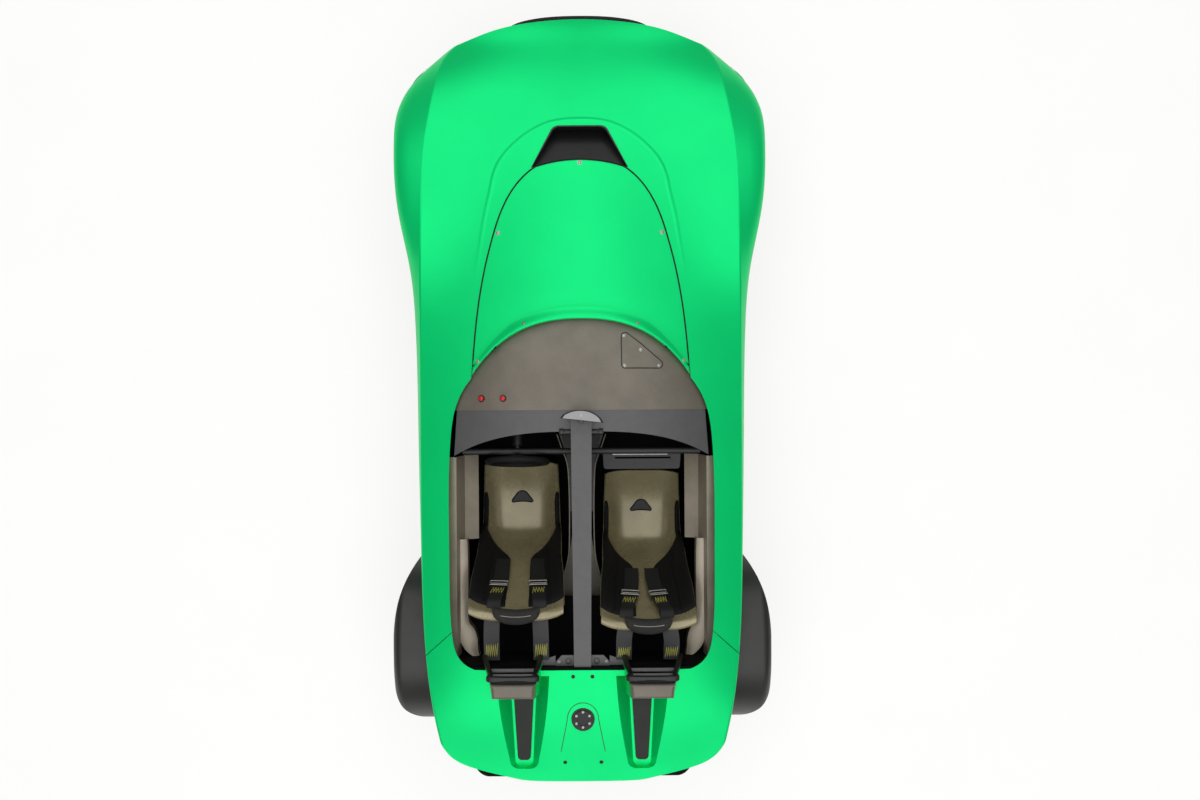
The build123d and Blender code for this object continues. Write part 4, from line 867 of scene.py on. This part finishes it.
def filler_line():
    """Painted shade round the fuel filler: a dark bead for the shadow in its shut line, an arch with legs
    that spread to the rear.
    """
    arch = []
    for k in range(ARCH_STEPS + 1):
        turn = math.pi * (k / ARCH_STEPS - 0.5)
        arch.append((FILLER_X + ARCH_LONG * math.cos(turn), ARCH_HALF * math.sin(turn)))
    leg = [(FILLER_X - LEG_BACK * k, ARCH_HALF + LEG_OUT * k) for k in range(1, LEG_STEPS + 1)]
    outline = [(x, -y) for x, y in reversed(leg)] + arch + leg
    return bead([on_node("tail_clamshell", x, y) for x, y in outline], 0.0032, 0.0008, 0.00032)


piece("filler_shut_line", [filler_line()], "black_plastic")

EDGE_STEP, EDGE_REACH, EDGE_HALVINGS = 0.005, 1.5, 8


def panel_edge(name, centre, first, last, count, inset=0.002, inside=True):
    """Places and normals along a panel's edge, found by walking out from a centre on it or short of it."""
    start = Vector((*centre, ABOVE))
    found = []
    for k in range(count + 1):
        turn = math.radians(first + (last - first) * k / count)
        away = Vector((math.cos(turn), math.sin(turn), 0))

        def short_of_edge(reach):
            return nodes[name].ray_cast(start + away * reach, DOWN)[0] == inside

        near = EDGE_STEP
        while near < EDGE_REACH and short_of_edge(near + EDGE_STEP):
            near += EDGE_STEP
        far = near + EDGE_STEP
        for _ in range(EDGE_HALVINGS):
            middle = (near + far) / 2
            if short_of_edge(middle):
                near = middle
            else:
                far = middle
        spot = start + away * (near - inset if inside else far + inset)
        found.append((*on_node(name, spot.x, spot.y), away))
    return found


# Black bead in the gap round the bonnet: painted shade for the shadow in the shut line
BONNET_CENTRE, GAP_SHADE_TURN, GAP_SHADE_STEPS = (0.60, 0), 137.5, 150
GAP_SHADE_OUT, GAP_SHADE_SINK, GAP_SHADE_END_X = 0.004, 0.0003, 0.075


def bonnet_gap_shade():
    """Painted shade: a black bead that fills the gap round the bonnet, standing in for the shadow in its shut
    line.
    """
    edge = panel_edge("bonnet", BONNET_CENTRE, -GAP_SHADE_TURN, GAP_SHADE_TURN, GAP_SHADE_STEPS)
    moved = [(place + away * GAP_SHADE_OUT, normal) for place, normal, away in edge]
    spots = [(place - normal * GAP_SHADE_SINK, normal) for place, normal in moved if place.x > GAP_SHADE_END_X]
    return bead(spots, 0.0066, 0.0022, 0.0009)


piece("bonnet_gap_shade", [bonnet_gap_shade()], "black_plastic", material=M["tyre_rubber"])

HATCH_CENTRE, HATCH_STEPS, HATCH_INSET = (0.150, -0.245), 160, 0.0015


def hatch_line():
    """Painted shade: a dark bead round the hatch in the dash, standing in for the shadow in its shut line."""
    edge = panel_edge("dash_hatch", HATCH_CENTRE, 0, 360, HATCH_STEPS, HATCH_INSET)
    return bead([(place, normal) for place, normal, _ in edge], 0.0045, 0.0016, 0.0006)


piece("hatch_line", [hatch_line()], "black_plastic")

# Turned-up lip along the bonnet's rear edge: inset from the edge and height of each point of its section
LIP_SECTION = [(0.044, 0.0002), (0.038, 0.0012), (0.026, 0.0060), (0.012, 0.0112), (0.003, 0.0128),
               (-0.002, 0.0115), (-0.002, -0.0040), (0.020, -0.0030), (0.044, -0.0010)]
LIP_TURN, LIP_STEPS, LIP_INSET = 77, 110, 0.003
LIP_END_SIZE, LIP_END_STEPS = 0.30, 22
LIP_SCREW = (0.296, 0.249)


def bonnet_lip():
    """Lip in front of the dash, swept along the bonnet's rear edge and drawn in towards its ends."""
    edge = panel_edge("bonnet", (0, 0), -LIP_TURN, LIP_TURN, LIP_STEPS, LIP_INSET, inside=False)
    rows = []
    for k, (place, normal, _) in enumerate(edge):
        along = edge[min(k + 1, LIP_STEPS)][0] - edge[max(k - 1, 0)][0]
        inward = along.cross(normal).normalized()
        size = min(1, LIP_END_SIZE + (1 - LIP_END_SIZE) * min(k, LIP_STEPS - k) / LIP_END_STEPS)
        rows.append([place + inward * inset * size + normal * lift * size for inset, lift in LIP_SECTION])
    return solid(rows)


lip = piece("bonnet_lip", [bonnet_lip()], "body_green")
bpy.context.view_layer.update()
screws_on("lip_screws", lip, both([LIP_SCREW]), 0.006)

# Crease round the air duct and down beside the bonnet, from the middle of the nose to one side
CREASE = [(1.222, 0), (1.219, 0.070), (1.200, 0.155), (1.146, 0.250), (1.068, 0.332), (0.988, 0.378),
          (0.881, 0.403), (0.778, 0.426), (0.652, 0.446), (0.500, 0.470)]
CREASE_SECTION = [(-1, 0), (-0.6, 0.3), (-0.2, 0.9), (0, 1), (0.2, 0.9), (0.6, 0.3), (1, 0)]
CREASE_HALF, CREASE_HEIGHT, CREASE_FADE = 0.013, 0.0026, 30
CREASE_LIFT, CREASE_DEPTH = 0.0001, 0.0008


def bonnet_crease():
    """Low ridge that follows the front clamshell's surface and fades out at both ends."""
    path = smooth_path(flat([(x, -y) for x, y in reversed(CREASE[1:])] + CREASE), 7)
    rows = []
    for k in range(1, len(path) - 1):
        along = (path[k + 1] - path[k - 1]).normalized()
        across = Vector((-along.y, along.x, 0))
        fade = min(1, k / CREASE_FADE, (len(path) - 1 - k) / CREASE_FADE)
        row = []
        for share, lift in CREASE_SECTION:
            spot = path[k] + across * CREASE_HALF * share
            place, normal = on_node("front_clamshell", spot.x, spot.y)
            row.append(place + normal * (CREASE_HEIGHT * lift * fade + CREASE_LIFT))
        rows.append(row + [row[-1] + DOWN * CREASE_DEPTH, row[0] + DOWN * CREASE_DEPTH])
    return solid(rows)


piece("bonnet_crease", [bonnet_crease()], "body_green", angle=60)


# Spine, mirror and tunnel

MIRROR_BOW = [(-0.118, 0.090), (-0.100, 0.074), (-0.086, 0.036), (-0.083, 0), (-0.090, -0.040),
              (-0.112, -0.078), (-0.139, -0.096)]
MIRROR_MIDDLE = Vector((-0.112, -0.002, 0))
MIRROR_LOW, MIRROR_HIGH, MIRROR_TOP = 0.846, 0.894, 0.8975
MIRROR_POST = [(0.0, 0), (0.016, 0), (0.016, 0.006), (0.010, 0.010), (0.009, 0.055), (0.0, 0.055)]


def mirror_plan(grow):
    """Plan outline of the mirror: a bow to the front and a flat rear side, turned towards the driver."""
    bow = smooth_path(flat(MIRROR_BOW), 5)
    flat_side = [bow[-1].lerp(bow[0], k / 8) for k in range(1, 8)]
    return [(p + (p - MIRROR_MIDDLE) * grow).xy for p in bow + flat_side]


mirror = piece("mirror_case", [plan_plate(mirror_plan(0), MIRROR_LOW, MIRROR_HIGH, 0.007)], "grey_metal",
               material=M["frame_paint"])
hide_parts("mirror")
piece("mirror_top", [plan_plate(mirror_plan(-0.10), MIRROR_HIGH - 0.002, MIRROR_TOP, 0.002)], "grey_metal",
      material=mirror_paint)
piece("mirror_post", [lathe((-0.128, 0, 0.800), UP, MIRROR_POST, 24)], "grey_metal")
piece("mirror_screw", [socket_screw((-0.106, 0.0, MIRROR_TOP), UP, 0.0045)], "steel")

# Black cover over the front of the tunnel, waisted like it, and the bright line along its edges
TUNNEL_COVER = [(-0.150, 0.098), (-0.215, 0.090), (-0.270, 0.078), (-0.330, 0.064), (-0.420, 0.059),
                (-0.560, 0.057)]
TUNNEL_EDGE = [(-0.200, 0.118), (-0.270, 0.094), (-0.340, 0.070), (-0.450, 0.0625), (-0.620, 0.061),
               (-0.760, 0.066), (-0.850, 0.086)]
TUNNEL_TOP, COVER_T, EDGE_INSET, EDGE_RISE = 0.400, 0.0035, 0.004, 0.0015
BRIGHT_LINE = (0.006, 0.004, 0.0015)


def tunnel_edge(side):
    """Bright line along one edge of the tunnel."""
    bend = [(x, side * (y - EDGE_INSET), TUNNEL_TOP + EDGE_RISE) for x, y in TUNNEL_EDGE]
    return strip(smooth_path(bend, 6), UP, *BRIGHT_LINE)


cover_plan = TUNNEL_COVER + [(x, -y) for x, y in reversed(TUNNEL_COVER)]
piece("tunnel_cover", [plan_plate(cover_plan, TUNNEL_TOP, TUNNEL_TOP + COVER_T, 0.001)], "frame_paint")
piece("tunnel_edges", [tunnel_edge(side) for side in SIDES], "bronze_carbon")

# Bright strip along the passenger tray
TRAY_X, TRAY_Y, TRAY_LENGTH, TRAY_STEPS = -0.2845, -0.140, 0.245, 12
tray_top = on_node("cross_bar", TRAY_X, TRAY_Y - TRAY_LENGTH / 2)[0].z - 0.001
tray_line = [(TRAY_X, TRAY_Y - TRAY_LENGTH * k / TRAY_STEPS, tray_top) for k in range(TRAY_STEPS + 1)]
piece("tray_strip", [strip(tray_line, UP, *BRIGHT_LINE)], "bare_metal")

FOOT_WING = [(-1.160, 0.118), (-1.180, 0.180), (-1.190, 0.204), (-1.203, 0.206), (-1.203, 0.118)]
WING_LOW, WING_HIGH = 0.7455, 0.7548
wings = [plan_plate([(x, side * y) for x, y in FOOT_WING], WING_LOW, WING_HIGH, 0.0015) for side in SIDES]
piece("foot_wings", wings, "grey_metal")

# Trims along the cockpit's sides behind the doors' line: place along the car, inner edge and outer edge
CORNER_TRIM = [(-0.668, 0.520, 0.556), (-0.760, 0.517, 0.556), (-0.900, 0.516, 0.556), (-1.030, 0.516, 0.556),
               (-1.075, 0.490, 0.556), (-1.120, 0.476, 0.554), (-1.160, 0.474, 0.536), (-1.188, 0.470, 0.508),
               (-1.203, 0.462, 0.480)]


def corner_trim(side):
    """Carbon shelf from the sill round to the headrest hood, its inner edge turned down."""
    rows = []
    for x, inner, outer in smooth_path(CORNER_TRIM, 5):
        section = [(outer, 0.588), ((inner + outer) / 2, 0.587), (inner, 0.578), (inner - 0.002, 0.520),
                   (inner + 0.004, 0.520), (inner + 0.006, 0.571), (outer, 0.583)]
        rows.append([(x, side * y, z) for y, z in section])
    return solid(rows)


piece("corner_trims", [corner_trim(side) for side in SIDES], "bronze_carbon", material=sill_bronze_painted_light)


# Headrest hoods: the mouth leans back, narrows and moves in as it rises

HOOD_Y, HOOD_LOW, HOOD_RISE = 0.293, 0.690, 0.310
MOUTH_X, MOUTH_LEAN, MOUTH_HALF, MOUTH_TAPER, MOUTH_IN = -1.163, 0.072, 0.142, 0.051, 0.017


def mouth(z):
    """Place of a hood's mouth along and across the car, and its half width, at a height."""
    share = (z - HOOD_LOW) / HOOD_RISE
    return MOUTH_X - MOUTH_LEAN * share, HOOD_Y + MOUTH_IN * (1 - share), MOUTH_HALF - MOUTH_TAPER * share


TRIM_HEIGHTS, TRIM_AHEAD, TRIM_INSET = (0.762, 0.85, 0.94, 0.972), 0.004, 0.007
SLAT_HEIGHTS, SLAT_BACK, SLAT_INSET = (0.845, 0.895), 0.006, 0.018
LINER_HEIGHTS, LINER_BACK, LINER_INSET = (0.765, 0.85, 0.93, 0.965), 0.020, 0.014
ROLL_LINE = [(-1.232, -0.088, 0.962), (-1.224, -0.070, 0.971), (-1.221, 0, 0.975), (-1.224, 0.070, 0.971),
             (-1.232, 0.088, 0.962)]
ROLL_RADIUS, ROLL_WIDEN = 0.0145, 1.25


def hood_trim(side):
    """Black edge trim round the mouth of one hood."""
    run = []
    for way, heights in ((1, TRIM_HEIGHTS), (-1, TRIM_HEIGHTS[::-1])):
        for z in heights:
            x, y, half = mouth(z)
            run.append((x + TRIM_AHEAD, side * (y + way * (half - TRIM_INSET)), z))
    return strip(smooth_path(run, 6), (0.97, 0, 0.22), 0.020, 0.026, 0.006)


def hood_slat(side, z):
    """Grey slat across the mouth."""
    x, y, half = mouth(z)
    run = [(x - SLAT_BACK, side * (y + (half - SLAT_INSET) * k / 4), z) for k in range(-4, 5)]
    return strip(run, (0.3, 0, 0.95), 0.017, 0.007, 0.0025)


def hood_roll(side):
    """Padded roll along the top of the mouth."""
    path = smooth_path([(x, side * HOOD_Y + y, z) for x, y, z in ROLL_LINE], 8)
    return sweep(path, [(a * ROLL_WIDEN, b) for a, b in circle(ROLL_RADIUS, 18)], [UP] * len(path))


def hood_back(side):
    """Black liner behind the slats."""
    rows = []
    for z in LINER_HEIGHTS:
        x, y, half = mouth(z)
        rows.append([(x - LINER_BACK, side * (y + way * (half - LINER_INSET)), z) for way in (-1, 1)])
    return grid(rows)


piece("hood_trims", [hood_trim(side) for side in SIDES], "black_plastic")
piece("hood_liners", [hood_back(side) for side in SIDES], "black_plastic")
piece("hood_slats", [hood_slat(side, z) for side in SIDES for z in SLAT_HEIGHTS], "grey_metal")
piece("hood_rolls", [hood_roll(side) for side in SIDES], "pad_black")


# Wheels: place along and across the car, diameter, width and side

WHEELS = {
    "front_left": (1.125, 0.705, 0.557, 0.195, 1),
    "front_right": (1.125, -0.705, 0.557, 0.195, -1),
    "rear_left": (-1.150, 0.720, 0.577, 0.245, 1),
    "rear_right": (-1.150, -0.720, 0.577, 0.245, -1),
}
RIM_R = 0.1905
TREAD_BLOCKS, BLOCK_STEPS, CROWN_STEPS = 40, 8, 16
TREAD_EDGE, CROWN_SINK, CROWN_DROP = 0.034, 0.0004, 0.0046
GROOVES, GROOVE_HALF, GROOVE_DEPTH = (-0.30, 0.30), 0.045, 0.0055
CUT_FROM, CUT_TO, CUT_SLANT, CUT_SHARE, CUT_DEPTH = 0.12, 0.86, 0.55, 0.13, 0.0045


def tread_depth(turn, share):
    """Depth of the tread pattern: two rain grooves, and slanted cuts out to the shoulders."""
    deep = 0.0
    for groove in GROOVES:
        if abs(share - groove) < GROOVE_HALF:
            deep = GROOVE_DEPTH
    if CUT_FROM < abs(share) < CUT_TO:
        phase = (turn * TREAD_BLOCKS / (2 * math.pi) + CUT_SLANT * abs(share)) % 1
        if phase < CUT_SHARE:
            deep = max(deep, CUT_DEPTH)
    return deep


def tyre(wheel):
    """Treaded tyre with a bulged wall, a raised rim guard and moulded rings."""
    x, y, od, width, _ = WHEELS[wheel]
    radius, half = od / 2, width / 2
    wall = [(RIM_R, half - 0.016), (RIM_R + 0.006, half - 0.009), (RIM_R + 0.010, half - 0.004),
            (RIM_R + 0.017, half - 0.0035), (RIM_R + 0.019, half - 0.005), (RIM_R + 0.032, half - 0.0022),
            (RIM_R + 0.036, half - 0.0012), (RIM_R + 0.038, half - 0.0018), (RIM_R + 0.052, half - 0.0008),
            (radius - 0.032, half - 0.005), (radius - 0.020, half - 0.010), (radius - 0.010, half - 0.019),
            (radius - 0.005, half - 0.029)]
    bead_side = [(RIM_R + 0.004, -half + 0.022), (RIM_R + 0.03, -half + 0.03), (RIM_R + 0.03, half - 0.03),
                 (RIM_R + 0.004, half - 0.022)]
    steps = TREAD_BLOCKS * BLOCK_STEPS
    rows = []
    for k in range(steps + 1):
        turn = 2 * math.pi * k / steps
        ring = list(wall)
        for j in range(-CROWN_STEPS, CROWN_STEPS + 1):
            share = -j / CROWN_STEPS
            crown = radius - CROWN_SINK - CROWN_DROP * abs(share) ** 3
            ring.append((crown - tread_depth(turn, share), share * (half - TREAD_EDGE)))
        ring += [(r, -v) for r, v in reversed(wall)] + bead_side
        rows.append([(x + r * math.sin(turn), y + v, radius + r * math.cos(turn)) for r, v in ring])
    made = piece(f"{wheel}_tread", [grid(rows, closed=True)], "tyre_rubber", f"{wheel}_wheel", angle=28)
    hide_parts(f"{wheel}_tyre")


HUB_CAP = [(0.030, -0.002), (0.030, 0.010), (0.028, 0.013), (0.022, 0.014), (0.020, 0.012), (0.0, 0.012)]
NUT = [(0.0115, 0), (0.0115, 0.004), (0.010, 0.005), (0.010, 0.014), (0.008, 0.017), (0.0045, 0.017),
       (0.0045, 0.010), (0.0, 0.010)]
VALVE = [(0.006, 0), (0.0045, 0.004), (0.003, 0.006), (0.003, 0.022), (0.0042, 0.022), (0.0042, 0.030),
         (0.0, 0.030)]
FACE_INSET, NUT_RING, NUT_SINK = 0.014 + 0.024, 0.046, 0.006
VALVE_RING, VALVE_TURN, VALVE_INSET = 0.166, math.radians(18), 0.050


def wheel_fittings(wheel):
    """Centre cap, four nuts and the valve of one wheel."""
    x, y, od, width, side = WHEELS[wheel]
    z = od / 2
    face = y + side * (width / 2 - FACE_INSET)
    axis = (0, side, 0)
    body = f"{wheel}_wheel"
    piece(f"{wheel}_cap", [lathe((x, face, z), axis, HUB_CAP, 40)], "rim_paint", body)
    nuts = []
    for k in range(4):
        turn = math.pi / 4 + k * math.pi / 2
        place = (x + NUT_RING * math.cos(turn), face - side * NUT_SINK, z + NUT_RING * math.sin(turn))
        nuts.append(lathe(place, axis, NUT, 24, hexes=(2, 3)))
    piece(f"{wheel}_nuts", nuts, "steel", body)
    valve = (x + VALVE_RING * math.sin(VALVE_TURN), y + side * (width / 2 - VALVE_INSET),
             z + VALVE_RING * math.cos(VALVE_TURN))
    piece(f"{wheel}_valve", [lathe(valve, axis, VALVE, 16)], "black_plastic", body)


# Front arches and nose

LINER_RING = [(0.3125, 0.470), (0.3125, 0.600), (0.3095, 0.600), (0.3095, 0.470)]
LINER_START, LINER_SWEEP, LINER_STEPS = 8, 164, 24


def arch_liner(side):
    """Black liner inside one front wheel arch: a half round that clears the tyre at full lock."""
    x, _, od, _, _ = WHEELS["front_left"]
    rows = []
    for k in range(LINER_STEPS + 1):
        turn = math.radians(LINER_START + LINER_SWEEP * k / LINER_STEPS)
        rows.append([(x + r * math.cos(turn), side * v, od / 2 + r * math.sin(turn)) for r, v in LINER_RING])
    return solid(rows)


CORE_X, CORE_LOW, CORE_HIGH, CORE_HALF = 1.543, 0.250, 0.405, 0.420
CORE_ROWS, CORE_FOLDS, FIN_GAP, FIN_HALF, CORE_BACK = 8, 60, 0.002, 0.014, 0.016


def radiator():
    """Radiator core behind the grille: a back plate, flat tubes and folded fins."""
    levels = [CORE_LOW + (CORE_HIGH - CORE_LOW) * k / CORE_ROWS for k in range(CORE_ROWS + 1)]
    shapes = []
    for z in levels:
        run = [(CORE_X, -CORE_HALF + CORE_HALF * j / 2, z) for j in range(5)]
        shapes.append(strip(run, UP, 0.003, 0.030, 0.001))
    for low, high in zip(levels, levels[1:]):
        fold = [(-CORE_HALF + CORE_HALF * j / CORE_FOLDS, low + FIN_GAP if j % 2 else high - FIN_GAP)
                for j in range(2 * CORE_FOLDS + 1)]
        shapes.append(grid([[(CORE_X + dx, y, z) for y, z in fold] for dx in (-FIN_HALF, FIN_HALF)]))
    ends = (-CORE_HALF, CORE_HALF)
    shapes.append(grid([[(CORE_X - CORE_BACK, y, z) for y in ends] for z in (CORE_LOW, CORE_HIGH)]))
    return shapes


# Rings of the intake duct, outside and back inside: place along the car, half width, lower and upper edge
INTAKE = [(1.632, 0.428, 0.260, 0.398), (1.556, 0.420, 0.252, 0.404), (1.556, 0.417, 0.255, 0.401),
          (1.632, 0.425, 0.263, 0.395), (1.632, 0.428, 0.260, 0.398)]


def intake_duct():
    """Black duct from the back of the grille to the radiator core."""
    rows = []
    for x, half, low, high in INTAKE:
        rows.append([(x, -half, low), (x, half, low), (x, half, high), (x, -half, high)])
    return grid(rows, closed=True)


NOSE_LINER = [(1.462, 0.668), (1.496, 0.640), (1.512, 0.520), (1.556, 0.424)]
NOSE_LOW, NOSE_TALL = 0.180, 0.240


def nose_liner(side):
    """Black sheet from the intake duct to the wheel arch, behind the nose's corner."""
    path = smooth_path([(x, side * y, NOSE_LOW) for x, y in NOSE_LINER], 6)
    return strip(path, UP, 0.003, NOSE_TALL, 0.001)


piece("arch_liners", [arch_liner(side) for side in SIDES], "black_plastic")
piece("radiator_core", radiator(), "frame_paint")
piece("intake_duct", [intake_duct()], "black_plastic")
piece("nose_liners", [nose_liner(side) for side in SIDES], "black_plastic")
for wheel_name in WHEELS:
    tyre(wheel_name)
    wheel_fittings(wheel_name)


# Floor and light

FLOOR_HALF, FLOOR_ROUGH, FLOOR_DRIFT = 60, 0.9, 2
FLOOR_DARK, FLOOR_LIGHT = (0.88, 0.88, 0.86, 1), (0.92, 0.92, 0.90, 1)
FLOOR_GLOW, GLOW_COLOUR, GLOW_SHARE = 1.05, (1, 1, 0.985, 1), 0.75
AMBIENT = 0.23

# Soft lights: place, target, size and power
SOFTBOXES = {
    "softbox_top": ((0.2, 0, 8.6), (0.2, 0, 0.4), (13.0, 9.0), 545),
    "softbox_left": ((-0.4, 5.2, 5.4), (-0.3, 0.3, 0.5), (7.0, 1.8), 8),
    "softbox_right": ((-0.4, -5.2, 5.4), (-0.3, -0.3, 0.5), (7.0, 1.8), 8),
    "softbox_nose": ((6.6, 0, 6.2), (1.3, 0, 0.5), (7.0, 3.0), 115),
    "softbox_tail": ((-6.2, 0, 6.0), (-1.3, 0, 0.5), (12.0, 3.0), 200),
}


def seen_directly(tree):
    """One for camera, glossy and transmission rays, nought for the light that falls on things."""
    rays = node(tree, "LightPath", {}).outputs
    seen = sums(tree, "MAXIMUM", rays["Is Camera Ray"], rays["Is Glossy Ray"])
    return sums(tree, "MAXIMUM", seen, rays["Is Transmission Ray"])


def make_stage():
    """White floor that glows a little where it is seen."""
    mesh = bpy.data.meshes.new("floor")
    corners = [(x * FLOOR_HALF, y * FLOOR_HALF, 0) for x, y in ((-1, -1), (1, -1), (1, 1), (-1, 1))]
    mesh.from_pydata(corners, [], [(0, 1, 2, 3)])
    floor = bpy.data.objects.new("floor", mesh)
    scene.collection.objects.link(floor)
    mat, tree, bsdf = new_material("floor_white")
    feed(tree, bsdf, {
        "Base Color": ramp(tree, noise(tree, FLOOR_DRIFT), FLOOR_DARK, FLOOR_LIGHT),
        "Roughness": FLOOR_ROUGH,
    })
    glow = node(tree, "Emission", {"Color": GLOW_COLOUR, "Strength": FLOOR_GLOW})
    share = sums(tree, "MULTIPLY", seen_directly(tree), GLOW_SHARE)
    mix = node(tree, "MixShader", {0: share, 1: bsdf.outputs[0], 2: glow.outputs[0]})
    feed(tree, tree.nodes["Material Output"], {"Surface": mix.outputs[0]})
    mesh.materials.append(mat)


def softbox(name, place, target, size, power):
    """Rectangular soft light aimed at a target."""
    data = bpy.data.lights.new(name, "AREA")
    data.shape = "RECTANGLE"
    data.size, data.size_y = size
    data.energy = power
    lamp = bpy.data.objects.new(name, data)
    lamp.location = place
    lamp.rotation_euler = (Vector(target) - Vector(place)).to_track_quat("-Z", "Y").to_euler()
    scene.collection.objects.link(lamp)


def make_world():
    """Even soft light from all round."""
    world = bpy.data.worlds.new("studio")
    world.use_nodes = True
    tree = world.node_tree
    feed(tree, tree.nodes["Background"], {"Color": (1, 1, 1, 1), "Strength": AMBIENT})
    scene.world = world


make_stage()
for lamp_name, setting in SOFTBOXES.items():
    softbox(lamp_name, *setting)
make_world()
scene.view_settings.view_transform = "Standard"
